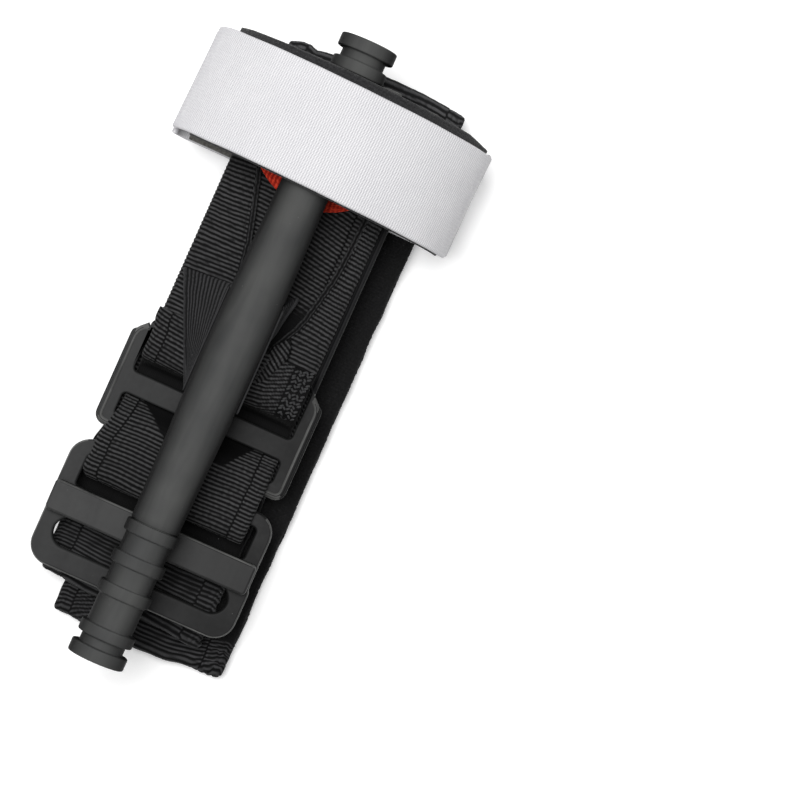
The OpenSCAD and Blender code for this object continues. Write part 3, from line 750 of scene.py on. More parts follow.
def bead(path, wide, tall, z, falloff=2.5):
    # half an oval carried along a path in x and y: width times cosine and height times sine, sinking at both ends
    line, s = evenSteps(path, 0.4)
    step = np.gradient(line, axis=0)
    step /= np.linalg.norm(step, axis=1, keepdims=True)
    side = np.stack([-step[:, 1], step[:, 0]], 1)
    a = np.linspace(0, np.pi, 10)
    grow = smoothStep(np.minimum(s, s[-1] - s), -0.2, falloff)[:, None]
    flat = line[:, None] - side[:, None] * (np.cos(a) * wide / 2)[None, :, None]
    height = z - 0.15 + (tall + 0.15) * np.sin(a)[None] * grow
    points = np.concatenate([flat + np.array([midX, 0]), height[..., None]], -1).reshape(-1, 3) / perMetre
    index = np.arange(len(points)).reshape(len(line), len(a))
    ahead = np.roll(index, -1, axis=1)
    faces = quadRows(index[:-1], ahead[:-1], ahead[1:], index[1:]).tolist()
    mesh = bpy.data.meshes.new("bead")
    mesh.from_pydata(points.tolist(), [], faces + [index[0, ::-1].tolist(), index[-1].tolist()])
    return mesh


def faceVectors(mesh, name):
    # the centre or the normal of every face
    found = np.empty(len(mesh.polygons) * 3)
    mesh.polygons.foreach_get(name, found)
    return found.reshape(-1, 3)


def joinMouldings(name, meshes, node, body, other, chosen, plain):
    # meshes put together into one moulding, shaded smooth, with the pale edge material, partly wear and partly painted
    # highlight, on the faces that are neither level nor plain and another one where the face centres, in millimetres,
    # are chosen
    shape = bmesh.new()
    for part in meshes:
        shape.from_mesh(part)
        bpy.data.meshes.remove(part)
    bmesh.ops.remove_doubles(shape, verts=shape.verts, dist=4e-6)
    bmesh.ops.recalc_face_normals(shape, faces=shape.faces)
    mesh = bpy.data.meshes.new(name)
    shape.to_mesh(mesh)
    shape.free()
    piece = addObject(name, mesh)
    finishPiece(piece, platePlastic, [node], body)
    mesh.materials.append(plateEdge)
    mesh.materials.append(other)
    tilted = np.abs(faceVectors(mesh, "normal")[:, 2]) < 0.97
    places = faceVectors(mesh, "center") * perMetre - [midX, 0, 0]
    wornAndLit = (tilted & ~plain(places)).astype(int)
    mesh.polygons.foreach_set("material_index", np.where(chosen(places), 2, wornAndLit))
    shadeSmooth(mesh)
    even = piece.modifiers.new("even", "WEIGHTED_NORMAL")
    even.keep_sharp, even.weight = False, 95
    return piece


def mirrored(points, others=None):
    # an outline of its right half and the mirror image of its left half, which is the same one if none is given
    return np.vstack([points, (points if others is None else others)[::-1] * [-1, 1]])


def buildPlate(look):
    # a sheet with two windows, its left neck narrower than its right, with a rail and a raised rim on top
    low, high = plateLow[2], plateLow[2] + look["thick"]
    half, bottom = (plateHigh[0] - plateLow[0]) / 2, plateLow[1]
    r, rn, (s0, s1) = look["corner"], look["neckCorner"], look["shoulder"]
    halves = []
    for neck in (look["neck"], look["leftNeck"]):
        halves.append(np.vstack([
            arcPoints((half - r, bottom + r), r, -90, 0, 9),
            softCorners([(half, bottom + r), (half, s0), (neck, s1), (neck, s1 + 12)], 1.1)[1:],
            arcPoints((neck - rn, look["top"] - rn), rn, 0, 90, 9)]))
    w = look["window"]
    windows = [roundedRing(-w, y0, w, y1, look["windowCorner"]) for y0, y1 in look["windows"]]
    rail, rim = look["rail"], look["rim"]
    railWay = np.array([(rail["x"], rail["from"]), (rail["x"], rail["to"])])
    parts = [cutSheet(mirrored(*halves), windows, low, high, look["edge"]),
             bead(railWay, rail["wide"], rail["tall"], high)]
    for side in (-1, 1):
        edge, start = half - rim["inset"], bottom + rim["inset"]
        path = [(side * (edge - 6), start), (side * edge, start), (side * edge, s0 - 0.3),
                (side * (look["neck"] - 0.4), s1 + 0.2)]
        parts.append(bead(softCorners(path, 1.8, 6), rim["wide"], rim["tall"], high))
    # the outer faces and the windows' edges stay plain
    plain = lambda c: (np.abs(c[:, 0]) > half - rim["inset"]) | (
        (np.abs(c[:, 0]) < w + 0.6) & (c[:, 1] > look["windows"][0][0] - 0.6))
    # the neck's faces take the darker painted shade copy of the plastic
    return joinMouldings("base_plate_body", parts, "base_plate", "pack", plateShade,
                         lambda c: c[:, 1] > look["darkFrom"], plain)


def buildBuckle(look):
    # a sheet with a window and a round-ended slot, whose left side steps out below the bar, and a raised sloping bar
    low, half = buckleLow[2], (buckleHigh[0] - buckleLow[0]) / 2
    y0, y1, r = buckleLow[1], buckleHigh[1], look["corner"]
    narrow, stepTo, stepFrom = half - look["step"], look["stepAt"], look["stepAt"] - 1.2
    right = np.vstack([arcPoints((half - r, y0 + r), r, -90, 0, 11),
                       softCorners([(half, y0 + r), (half, stepFrom), (narrow, stepTo), (narrow, y1 - r)], 0.7)[1:-1],
                       arcPoints((narrow - r, y1 - r), r, 0, 90, 11)])
    x, w0, w1, rw = look["window"]
    xs, s0, s1, rs = look["slot"]
    holes = [roundedRing(-x, w0, x, w1, rw), roundedRing(-xs, s0, xs, s1, rs, 15)]
    bar = look["bar"]
    outline = mirrored(right)
    outline[:, 0] -= look["leftOut"] * smoothStep(outline[:, 1], stepFrom, stepTo) * (outline[:, 0] < 0)
    parts = [cutSheet(outline, holes, low, look["top"], look["edge"]),
             cutSheet(roundedRing(-bar["left"], bar["from"], bar["x"], bar["to"], 1.0), [], low + 0.6, buckleHigh[2],
                      bar["edge"], bar["slope"])]
    plain = lambda c: (np.abs(c[:, 0]) < xs + 0.6) & (c[:, 1] > s0 - 0.6) & (c[:, 2] < look["top"] + 0.3)
    return joinMouldings("friction_buckle_body", parts, "friction_buckle", "buckle", barPlastic,
                         lambda c: (c[:, 2] > look["top"] + 0.3) & (np.abs(c[:, 1] - bar["to"]) > 0.5), plain)


def buildClip(look):
    # a merged copy of the CAD clip with its flat faces joined up, then rounded along every edge
    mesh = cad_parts["windlass_clip"].data.copy()
    mesh.name = "windlass_clip_body"
    shape = bmesh.new()
    shape.from_mesh(mesh)
    bmesh.ops.remove_doubles(shape, verts=shape.verts, dist=2e-6)
    bmesh.ops.dissolve_limit(shape, angle_limit=math.radians(0.6), verts=shape.verts, edges=shape.edges)
    bmesh.ops.recalc_face_normals(shape, faces=shape.faces)
    shape.to_mesh(mesh)
    shape.free()
    piece = addObject("windlass_clip_body", mesh)
    finishPiece(piece, platePlastic, ["windlass_clip"], "pack")
    mesh.materials.append(plateEdge)
    mesh.polygons.foreach_set("material_index", np.zeros(len(mesh.polygons), int))
    shadeSmooth(mesh)
    # the bevel's faces take the pale edge material, partly wear and partly painted highlight
    bevel = piece.modifiers.new("edges", "BEVEL")
    bevel.width, bevel.segments, bevel.limit_method = look["edge"] / perMetre, 3, "ANGLE"
    bevel.angle_limit, bevel.use_clamp_overlap, bevel.material = math.radians(28), False, 1
    even = piece.modifiers.new("even", "WEIGHTED_NORMAL")
    even.keep_sharp, even.weight = False, 90
    return piece


buckleLow, buckleHigh = corners("friction_buckle")
buildPlate(plateLook)
buildBuckle(buckleLook)
buildClip(clipLook)
print("mouldings rounded")

# Sheath webbing: one strip folded into a flat tube whose lips open under the rod

sheathLook = {"pitch": 0.99, "thick": 0.8, "relief": 0.22, "seed": 11, "wave": 0.17, "fine": 6,
              "leftLip": [(-2, -5), (14, -5), (24, -6.5), (40, -11.2), (64, -11.5)],
              "rightLip": [(-2, 6), (3.7, 6.7), (11.3, 10.5), (24, 13.2), (38, 14.1), (64, 14.3)],
              "halfWide": 18.8, "lipZone": 14, "rise": 0.55}


def buildSheath(look):
    # section in x and z carried along y: left lip, fold, base, fold, right lip; columns keep their distance from a
    # lip's edge close to it, and share the rest of the way to the fold
    y, s = evenSteps(np.array([[sheathLow[1]], [sheathHigh[1]]]), look["pitch"] / look["fine"])
    y = y[:, 0]
    half = look["thick"] / 2
    lowZ, highZ = sheathLow[2] + half, sheathHigh[2] - half
    bend, foldZ = (highZ - lowZ) / 2, (highZ + lowZ) / 2
    outer = (sheathHigh[0] - sheathLow[0]) / 2 - half - bend
    kernel = np.hanning(41) / np.hanning(41).sum()
    lips = []
    for table in (look["leftLip"], look["rightLip"]):
        t = np.array(table, float)
        edge = np.pad(np.interp(y, t[:, 0], t[:, 1]), 20, "edge")
        lips.append(np.convolve(edge, kernel, "valid") + 0.05 * ripple(y, 0 * y, 3.0, len(lips) + 2))
    near = np.array([0, 0.1, 0.2, 0.3, 0.4, 0.5, 0.62, 0.75, 0.88, 1.0, 1.12, 1.25, 1.5, 1.75, 2.0])
    zone = look["lipZone"]
    d = np.r_[near, np.linspace(2.6, zone, 14)]
    parts = []
    for side, lip in ((-1, lips[0]), (1, lips[1])):
        x = lip[:, None] + (side * outer - lip[:, None]) * d[None] / zone
        x = np.where(d[None] <= near[-1], lip[:, None] + side * d[None], x)
        x = np.where((side * x) > outer, side * outer, x)
        puff = look["rise"] * (1 - smoothStep(d, 0, 3.4))[None] * window(y, 3, 9, 28, 34)[:, None]
        z = highZ + puff + 0.1 * np.exp(-((d - 0.45) / 0.35) ** 2)[None]
        parts.append(np.stack([x, z + 0 * x], -1))
    a = np.radians(np.linspace(90, 270, 9))[1:-1]
    turnLeft = np.stack([-outer + bend * np.cos(a), foldZ + bend * np.sin(a)], -1)
    floor = np.stack([np.linspace(-outer, outer, 25), np.full(25, lowZ)], -1)
    turnRight = np.stack([outer - bend * np.cos(a[::-1]), foldZ + bend * np.sin(a[::-1])], -1)
    rows = len(y)
    wide = [parts[0], np.broadcast_to(turnLeft, (rows, 7, 2)), np.broadcast_to(floor, (rows, 25, 2)),
            np.broadcast_to(turnRight, (rows, 7, 2)), parts[1][:, ::-1]]
    section = np.concatenate(wide, 1)
    middle = placed(section[..., 0], y[:, None], section[..., 1])
    x, along = section[..., 0], np.broadcast_to(s[:, None], section.shape[:2])
    top = section[..., 1] > foldZ
    lipEdge = np.where(top & (x < 0), lips[0][:, None] - x, np.where(top, x - lips[1][:, None], 9.0))
    ridge = ribField(x, along, np.full_like(x, -look["halfWide"]), np.full_like(x, look["halfWide"]),
                     {**look, "slants": ((7, 17, 0.1), (-17, -7, -0.03)), "selvedge": 1.0, "chevron": 0.3})
    lines = np.exp(-((lipEdge - 0.26) / 0.24) ** 2) + np.exp(-((lipEdge - 0.98) / 0.2) ** 2)
    border = 1 - smoothStep(lipEdge, 1.2, 1.4)
    hem = np.clip((0.3 + 0.42 * lines) * (1 - 0.12 * (1 + ripple(x, along, 0.8, 19))), 0, 1)
    ridge = ridge * (1 - border) + border * hem
    e = np.minimum(np.clip(lipEdge, 0, None), np.minimum(along, s[-1] - along))
    rise, fall = ribRise(e, half, 0.5, look["relief"], ridge), ribRise(e, half, 0.5, 0.1, 0)
    return slab("sheath_webbing_tube", middle, rise, fall, np.stack([x, along, ridge], -1)), y, lips


sheath, sheathY, lipEdges = buildSheath(sheathLook)
finishPiece(sheath, ribbedBlack, ["sheath_webbing"], "pack")

flapLook = {"thick": 0.8, "relief": 0.22, "pitch": 0.95, "z": 16.5, "crown": 0.85,
            "left": [(-5.2, 6.2), (0.9, 6.6), (4.4, 7.3), (7.4, 9.7)],
            "right": [(-5.3, 7.2), (-4.7, 7.9), (-1.4, 9.9), (1.2, 11.0), (3.1, 11.6), (5.6, 11.3), (7.4, 10.4)]}


def buildFlap(look):
    # lens-shaped fold of the sheath beside the rod: width between two tables of x against y, raised in the middle
    y = np.linspace(look["left"][0][0], look["left"][-1][0], 90)
    sides = [np.interp(y, *np.array(look[name], float).T) for name in ("left", "right")]
    c = np.linspace(0, 1, 40)
    x = sides[0][:, None] + (sides[1] - sides[0])[:, None] * c[None]
    gridY = y[:, None] + 0 * x
    crown = np.sin(np.pi * c ** 1.5)[None] * np.sin(np.pi * (y - y[0]) / (y[-1] - y[0]))[:, None] ** 0.5
    middle = placed(x, gridY, look["z"] + look["crown"] * crown)
    way = 0.59 * x + 0.81 * gridY + 0.12 * ripple(x, gridY, 6, 8)
    ridge = plainRibs(way, x, gridY, look["pitch"], 12)
    e = np.minimum(np.minimum(x - sides[0][:, None], sides[1][:, None] - x), np.minimum(gridY - y[0], y[-1] - gridY))
    ridge = ridge * smoothStep(e, 0.12, 0.5)
    rise = ribRise(e, look["thick"] / 2, 0.5, look["relief"], ridge)
    return slab("sheath_lip_fold", middle, rise, rise, np.stack([x, way, np.clip(ridge, 0, 1)], -1))


finishPiece(buildFlap(flapLook), ribbedBlack, ["sheath_webbing"], "pack")

# Tension strap inside the sheath

runLow, runHigh = corners("tension_strap_run")
# its shade entry paints the shadow under the right lip, beside the riser's edge
runLook = {"pitch": 0.99, "thick": 1.0, "relief": 0.24, "seed": 23, "wave": 0.15, "coarse": 0.6,
           "slants": ((3, 12.5, 0.2),), "chevron": 0.0,
           "shade": lambda x, y: 0.75 * smoothStep(x, 5.5, 7.5) * (1 - smoothStep(y, 10, 17))}
runZ = (runLow[2] + runHigh[2]) / 2
strapRun = webbingStrip("tension_strap_run_webbing", [(runLow[1], runZ), (20, runZ), (40, runZ), (runHigh[1], runZ)],
                        runLow[0] - midX, runHigh[0] - midX, runLook)
finishPiece(strapRun, ribbedBlack, ["tension_strap_run"], "pack")
print("sheath and inner strap woven")

# Webbing from the sheath round the buckle's top bar



def loopShade(x, y):
    # painted shade, darker where the webbing dives behind the crossbar and where it climbs out askew; darker under the
    # tacks too
    tacks = 0.85 * smoothStep(x, 13.8, 14.1) * smoothStep(y, -13.5, -12.0)
    climb = np.clip(-18.3 - 0.71 * (x + 15.1), -24.6, -18.3)
    climb = np.maximum(climb, np.where(x > 0, np.clip(-26.1 + 1.22 * (x - 6.6), -26.5, -18.3), -30))
    return np.maximum(tacks, 0.96 * (1 - smoothStep(y, -10.0, -9.0)) * smoothStep(y, climb - 0.5, climb + 0.7))


loopLow, loopHigh = corners("buckle_loop_webbing")
loopLook = {"pitch": 0.93, "thick": 1.4, "relief": 0.28, "seed": 31, "wave": 0.12, "coarse": 0.6, "bend": 2.0,
            "seams": ((-1, 3.4), (1, 3.7)), "selvedge": 0.9, "chevron": 0.25,
            "slants": ((-19, -5, -0.14), (5.5, 9.5, 0.10), (9.5, 14.4, 0.46)), "slantOver": (-13.5, -9.5),
            "shade": loopShade}
loopPath = np.vstack([[(2.4, 16.5), (-6.2, 16.4), (-8.8, 15.3), (-10.4, 10.2), (-13.3, 9.9), (-18.8, 9.9),
                       (-22.9, 13.9), (-27.5, 14.4), (-30.3, 15.05), (-36.1, 15.05)],
                      arcPoints((-36.1, 12.475), 2.575, 90, 270, 13)[1:-1], [(-36.1, 9.9), (-21.6, 9.9)]])
loopHalf = (loopHigh[0] - loopLow[0]) / 2
loopLeft = lambda line: (-loopHalf - 0.5 * smoothStep(line[:, 0], -2.5, 0.5)
                         - 1.75 * window(line[:, 0], -40, -37.5, -32, -20))
buckleLoop = webbingStrip("buckle_loop_webbing_strip", loopPath, loopLeft, loopHalf, loopLook)
finishPiece(buckleLoop, ribbedBlack, ["buckle_loop_webbing"], "pack")

# Red tip

tipLow, tipHigh = corners("red_tip")
tipLook = {"pitch": 1.0, "thick": 1.0, "relief": 0.2, "seed": 41, "wave": 0.25}


def buildTip(look):
    # a half disc that runs into a straight end: x is a share of the half width, which is a circle's near the tip
    radius = (tipHigh[0] - tipLow[0]) / 2
    a = np.radians(np.linspace(4, 90, 46))
    y = np.r_[tipLow[1] + radius * (1 - np.cos(a)), np.linspace(tipLow[1] + radius, tipHigh[1], 24)[1:]]
    wide = np.r_[radius * np.sin(a), np.full(23, radius)]
    share = np.linspace(-1, 1, 201)
    share = np.sign(share) * (1 - (1 - np.abs(share)) ** 1.15)
    x = wide[:, None] * share[None]
    along = np.broadcast_to(y[:, None], x.shape)
    middle = placed(x, along, (tipLow[2] + tipHigh[2]) / 2)
    way = x + look["wave"] * ripple(x, along, 9, look["seed"]) + 0.08 * ripple(x, along, 1.4, look["seed"] + 1)
    ridge = plainRibs(way, x, along, look["pitch"], 5)
    e = np.minimum(wide[:, None] - np.abs(x), tipHigh[1] - along)
    rise = ribRise(e, look["thick"] / 2, 0.5, look["relief"], ridge)
    return slab("red_tip_webbing", middle, rise, rise, np.stack([along, x, np.clip(ridge, 0, 1)], -1))


finishPiece(buildTip(tipLook), redCloth, ["red_tip"], "pack")
print("buckle webbing and red tip woven")

# Tension strap beside the rod

riserLook = {
    "left": {"mouth": (-5.6, -12.5, 13.4), "fold": ((-6.2, -12.6), (-17.4, 12.6)), "foldZ": 16.85, "gap": 0.75,
             "back": 12.0, "ribs": 12.5, "seed": 51, "smooth": 0.3},
    "right": {"mouth": (5.6, -12.5, 12.5),
              "fold": ((4.2, -9.0), (4.4, 2.5), (6.2, 6.3), (6.75, 10.5), (7.75, 14.8), (7.8, 16.6)),
              "foldZ": 17.2, "gap": 0.75, "back": 2.4, "ribs": 7.0, "seed": 57, "smooth": 0.1},
    "thick": 0.75, "relief": 0.2, "pitch": 0.97, "halfWide": 12.5,
}


def buildRiser(side, look, name):
    # ruled sheet between the slot's mouth and a slanted fold on the sheath, with the fold's half turn under it; rows
    # run from the mouth down, columns along the strap's width, and the ribs follow the rows
    own = look[name]
    v = np.linspace(-1, 1, 64)
    share = (v + 1) / 2
    table = softCorners(own["fold"], 1.5) if len(own["fold"]) > 2 else np.array(own["fold"])
    reach = np.r_[0, np.cumsum(np.linalg.norm(np.diff(table, axis=0), axis=1))]
    fold = np.stack([np.interp(share * reach[-1], reach, table[:, k]) for k in (0, 1)], 1)
    fold[:, 0] += 0.05 * ripple(fold[:, 1], 0 * v, 5.0, own["seed"])
    mouthX, mouthLow, mouthHigh = own["mouth"]
    u = np.linspace(0, 1, 90)
    mouth = np.stack([np.full_like(v, mouthX), mouthLow + (mouthHigh - mouthLow) * share], -1)
    bend = own["gap"] / 2
    z0, z1 = rodZ, own["foldZ"] + bend
    flat = mouth[None] + (fold - mouth)[None] * u[:, None, None]
    sag = np.sin(np.pi * u)[:, None] * (0.5 + 0.6 * share[None])
    height = z0 + (z1 - z0) * (1 - (1 - u) ** 1.25)[:, None] + 0 * v[None] - 0.9 * sag
    ease = smoothStep(u, 0.72, 1.0)[:, None]
    height = height * (1 - ease) + (z1 + 0.02 * (1 - u)[:, None]) * ease
    sheet = np.concatenate([flat, height[..., None]], -1)
    turn = np.radians(np.linspace(90, -90, 9))[1:]
    curl = fold[None] + np.array([side, 0.0]) * (bend * np.cos(turn))[:, None, None]
    curlZ = own["foldZ"] + bend * np.sin(turn)[:, None] + 0 * v[None]
    upper = np.concatenate([sheet, np.concatenate([curl, curlZ[..., None]], -1)], 0)
    # the layer under the fold, back below the rod into the sheath, a little narrower so that the upper layer hides it
    b = np.linspace(0, 1, 60)
    inset = 0.6 * np.sign(v) * np.abs(v) ** 6
    start = fold - np.stack([0 * v, inset], -1)
    back = start[None] - np.array([side, 0.04 * side]) * (own["back"] * b)[:, None, None]
    sink = smoothStep(b, 0.3, 0.9)[:, None]
    backZ = (own["foldZ"] - bend) * (1 - sink) + (runHigh[2] + 0.3) * sink + 0 * v[None]
    lower = np.concatenate([back, backZ[..., None]], -1)
    made = []
    for part, rows, label in ((upper, len(u) + len(turn), "fold"), (lower, len(b), "under")):
        count = own["ribs"] + 0.8 if label == "fold" else 11
        way = look["pitch"] * np.linspace(0, count, rows)[:, None] + 0 * v[None]
        across = look["halfWide"] * v[None] + 0 * way
        rim = look["pitch"] * count - way if label == "fold" else 9 + 0 * way
        way = way + 0.12 * ripple(across, way, 11, own["seed"]) + 0.02 * ripple(across, way, 1.7, own["seed"] + 1)
        ridge = plainRibs(way, across, way, look["pitch"], own["seed"] + 2, 0.8)
        calm = smoothStep(rim, own["smooth"] + 0.45, own["smooth"] + 0.8)
        ridge = ridge * calm + (1 - calm) * (0.5 + 0.5 * np.exp(-((rim - 0.55) / 0.25) ** 2))
        rise = ribRise(look["halfWide"] - np.abs(across), look["thick"] / 2, 0.6, look["relief"], ridge, 0.06)
        made.append(slab("rod_strap_%s_%s" % (name, label), part + np.array([midX, 0, 0]), rise, rise,
                         np.stack([across, way, np.clip(ridge, 0, 1)], -1)))
    # both layers take the strap's webbing and hide the riser's CAD node; their placement is baked into their meshes
    for piece in made:
        finishPiece(piece, strapBlack, ["tension_strap_%s_riser" % name])
    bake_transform(made[0], "strap_risers", "windlass", start=(midX / perMetre, 0, (z1 + 0.6) / perMetre),
             end=(midX / perMetre, 0, (rodZ - 0.3) / perMetre))
    hinge = fold[len(fold) // 2] + [midX, 0]
    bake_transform(made[1], "pack", "strap_risers",
             start=((hinge[0] - side * own["back"]) / perMetre, hinge[1] / perMetre, 0.016),
             end=(hinge[0] / perMetre, hinge[1] / perMetre, 0.016))


buildRiser(-1, riserLook, "left")
buildRiser(1, riserLook, "right")
passLow, passHigh = corners("tension_strap_slot_pass")
passLook = {"pitch": 1.12, "thick": 1.0, "relief": 0.2}


def buildPass(look):
    # the strap's flat stretch in the slot, ribs along y
    x, s = evenSteps(np.array([[passLow[0]], [passHigh[0]]]), 0.18)
    y = np.linspace(passLow[1], passHigh[1], 40)
    gridX, gridY = np.meshgrid(x[:, 0], y, indexing="ij")
    middle = np.stack([gridX, gridY, np.full_like(gridX, (passLow[2] + passHigh[2]) / 2)], -1)
    ridge = np.abs(np.sin(np.pi * gridX / look["pitch"]))
    e = np.minimum(gridY - passLow[1], passHigh[1] - gridY)
    rise = ribRise(e, look["thick"] / 2, 0.5, look["relief"], ridge, 0.06)
    return slab("tension_strap_slot_webbing", middle, rise, rise, np.stack([gridY, gridX, ridge], -1))


finishPiece(buildPass(passLook), strapBlack, ["tension_strap_slot_pass"], "windlass")
print("tension strap laid")

# Self-adhering band

lowLow, lowHigh = corners("band_lower_runs")
foldLow, foldHigh = corners("band_top_fold")
upLow, upHigh = corners("band_upper_runs")
bandLook = {"thick": 1.8, "pitch": 0.98, "relief": 0.26, "seed": 71, "coarse": 1.3, "wave": 0.15, "bend": 0.4,
            "selvedge": 1.2, "chevron": 0.5, "runs": (0.9, 3.5, 6.1, 8.2)}
run1, run2, run3, run4 = bandLook["runs"]


def bandEdges(low, high):
    # both sides of a box as x off the middle line
    return low[0] - midX, high[0] - midX


def foldPath(tip, side, start, z0, z1, count=13):
    # y where a half turn begins whose outer face reaches the tip, and the way there at z0 and back to the start at z1
    radius = (z1 - z0) / 2
    end = tip - side * (bandLook["thick"] / 2 + radius)
    turn = arcPoints((end, (z0 + z1) / 2), radius, -90 if side > 0 else 270, 90, count)
    return end, np.vstack([[(start, z0)], turn, [(start, z1)]])


hemEnd, upperPath = foldPath(upLow[1], -1, upHigh[1], run3, run4, 11)
left, right = bandEdges(upLow, upHigh)
# painted shade: the runs are darkened between the buckle's webbing and its bar, where they are lost in the dark
gapShade = lambda x, y: 0.93 * window(y, -43.5, -42.0, -30.0, -28.0)
wideLeft = lambda line: (left - window(line[:, 0], -60.5, -55, -32, -26) + 1.7 * smoothStep(line[:, 0], -6, 1)
                         + 0.75 * window(line[:, 0], -57.5, -55.5, -47, -44))
ragged = lambda line: (right - 0.25 * (1 + ripple(line[:, 0], 0 * line[:, 0], 1.1, 73))
                       * (1 - smoothStep(line[:, 0], -56, -50)))
# the hem runs a little askew and sags at its right end
hemBow = lambda x, y, z: (1 - smoothStep(y, hemEnd + 1, hemEnd + 14)) * (-0.055 * x + 0.2 * ripple(x, 0 * x, 14, 74))
upperRuns = webbingStrip("band_upper_webbing", upperPath, wideLeft, ragged,
                         {**bandLook, "fine": 4, "seams": ((-1, 5.3), (1, 4.9)), "bow": hemBow, "shade": gapShade})
finishPiece(upperRuns, bandBlack, ["band_upper_runs"], "pack")

foldEnd, topPath = foldPath(foldHigh[1], 1, foldLow[1], run2, run3)
left, right = bandEdges(foldLow, foldHigh)
# the fold waves at its left end and opens a little at its right
foldBow = lambda x, y, z: smoothStep(y, foldLow[1] + 2, foldEnd) * np.interp(
    x, (-20, -18.6, -15.0, -13.5, -11.5, -9.5, -7, 8, 15, 21, 26),
    (-1.2, -0.6, 0.7, 0.8, 0.1, 0.5, 0.8, 1.1, 0.9, 0.4, -0.2))
topFold = webbingStrip("band_top_fold_webbing", topPath, left, right,
                       {**bandLook, "fine": 8, "coarse": 0.7, "seed": 77, "seams": ((-1, 4.2), (1, 4.2)),
                        "bow": foldBow})
finishPiece(topFold, litFoldBlack, ["band_top_fold"], "pack")

joinY = -60.5
bottomEnd, bottomPath = foldPath(lowLow[1], -1, joinY, run1, run2)
left, right = bandEdges(lowLow, lowHigh)
# the fold's ends draw back from its middle, and its right corner is crushed
bottomBow = lambda x, y, z: (1 - smoothStep(y, bottomEnd + 1, joinY)) * (
    np.where(x < 6, 0.6, 1.4) * ((x - 6) / 19) ** 2 - 0.3 + 0.25 * ripple(x, 0 * x, 9, 84)
    - 0.35 * smoothStep(x, 20, 25) * ripple(x, y, 2.2, 85))
bottomFold = webbingStrip("band_bottom_fold_webbing", bottomPath, left - 1.1, right,
                          {**bandLook, "fine": 8, "coarse": 0.7, "seed": 83, "seams": ((-1, 3.8), (1, 5.4)),
                           "selvedge": 1.4, "bow": bottomBow, "slants": ((-11.0, -6.5, -0.55), (19.0, 25.0, -0.35))})
finishPiece(bottomFold, bandBlack, ["band_lower_runs"], "pack")


def buildPileRun(name, z, y0, y1, seed):
    # flat run of the pile-faced band: a tangle of small rises on both faces and a ragged side
    rows, cols = np.linspace(y0, y1, int((y1 - y0) / 0.55)), np.linspace(0, 1, 84)
    cols = 0.5 - 0.5 * np.cos(np.pi * (0.08 + 0.84 * cols)) / np.cos(np.pi * 0.08)
    sideLeft = left + 0.06 * ripple(rows, 0 * rows, 1.3, seed)
    sideRight = right + 0.06 * ripple(rows, 0 * rows, 1.3, seed + 1) + 0.15 * ripple(rows, 0 * rows, 14, seed + 2)
    x = sideLeft[:, None] + (sideRight - sideLeft)[:, None] * cols[None]
    y = np.broadcast_to(rows[:, None], x.shape)
    middle = placed(x, y, z)
    tangle = 0.5 + 0.3 * ripple(x, y, 1.3, seed + 2, 14) + 0.25 * np.random.default_rng(seed).uniform(-1, 1, x.shape)
    tangle = tangle * (0.45 + 0.55 * (1 - smoothStep(x, sideRight[:, None] - 2.6, sideRight[:, None] - 1.2)))
    e = np.minimum(np.minimum(x - sideLeft[:, None], sideRight[:, None] - x), np.minimum(y - y0, y1 - y))
    rise = ribRise(e, 0.9, 0.9, 0.22, np.clip(tangle, 0, 1), 0.1)
    return slab(name, middle, rise, rise, np.stack([x, y, tangle], -1))


for name, z, y0, y1, seed in (("band_pile_outer_run", run1, joinY - 1.5, lowHigh[1], 91),
                              ("band_pile_inner_run", run2, joinY - 1.5, lowHigh[1] - 4, 95)):
    finishPiece(buildPileRun(name, z, y0, y1, seed), pileBlack, ["band_lower_runs"], "pack")
print("band folded")

# Time strap

frontLow, frontHigh = corners("time_strap_front")
backLow = corners("time_strap_back")[0]
closeLow, closeHigh = corners("time_strap_closure")
timeLook = {"thick": 1.5, "lining": 0.9, "pitch": 0.56, "relief": 0.06,
            "shift": (-0.9, 1.05, -2.0), "backShift": (-0.9, 0.7, -0.5), "wider": 0.95}
loopA = frontHigh[0] - timeLook["thick"] / 2 + timeLook["wider"]
loopMidZ = 13.2
loopTopZ = frontHigh[2] - timeLook["thick"] / 2


def archSlab(name, inset, thick, a0, a1, y0, y1, relief, step, seed):
    # sheet over half an ellipse in x and z, inset from the strap's middle line and turned a little about z; its far
    # edge may change with x
    a = np.radians(np.linspace(a0, a1, 721))
    wide, tall = loopA - inset, loopTopZ - loopMidZ - inset
    arch = np.stack([wide * np.cos(a), loopMidZ + tall * np.sin(a)], -1)
    return turnedSheet(name, *evenSteps(arch, step), thick, y0, y1, relief, seed, timeLook["shift"])


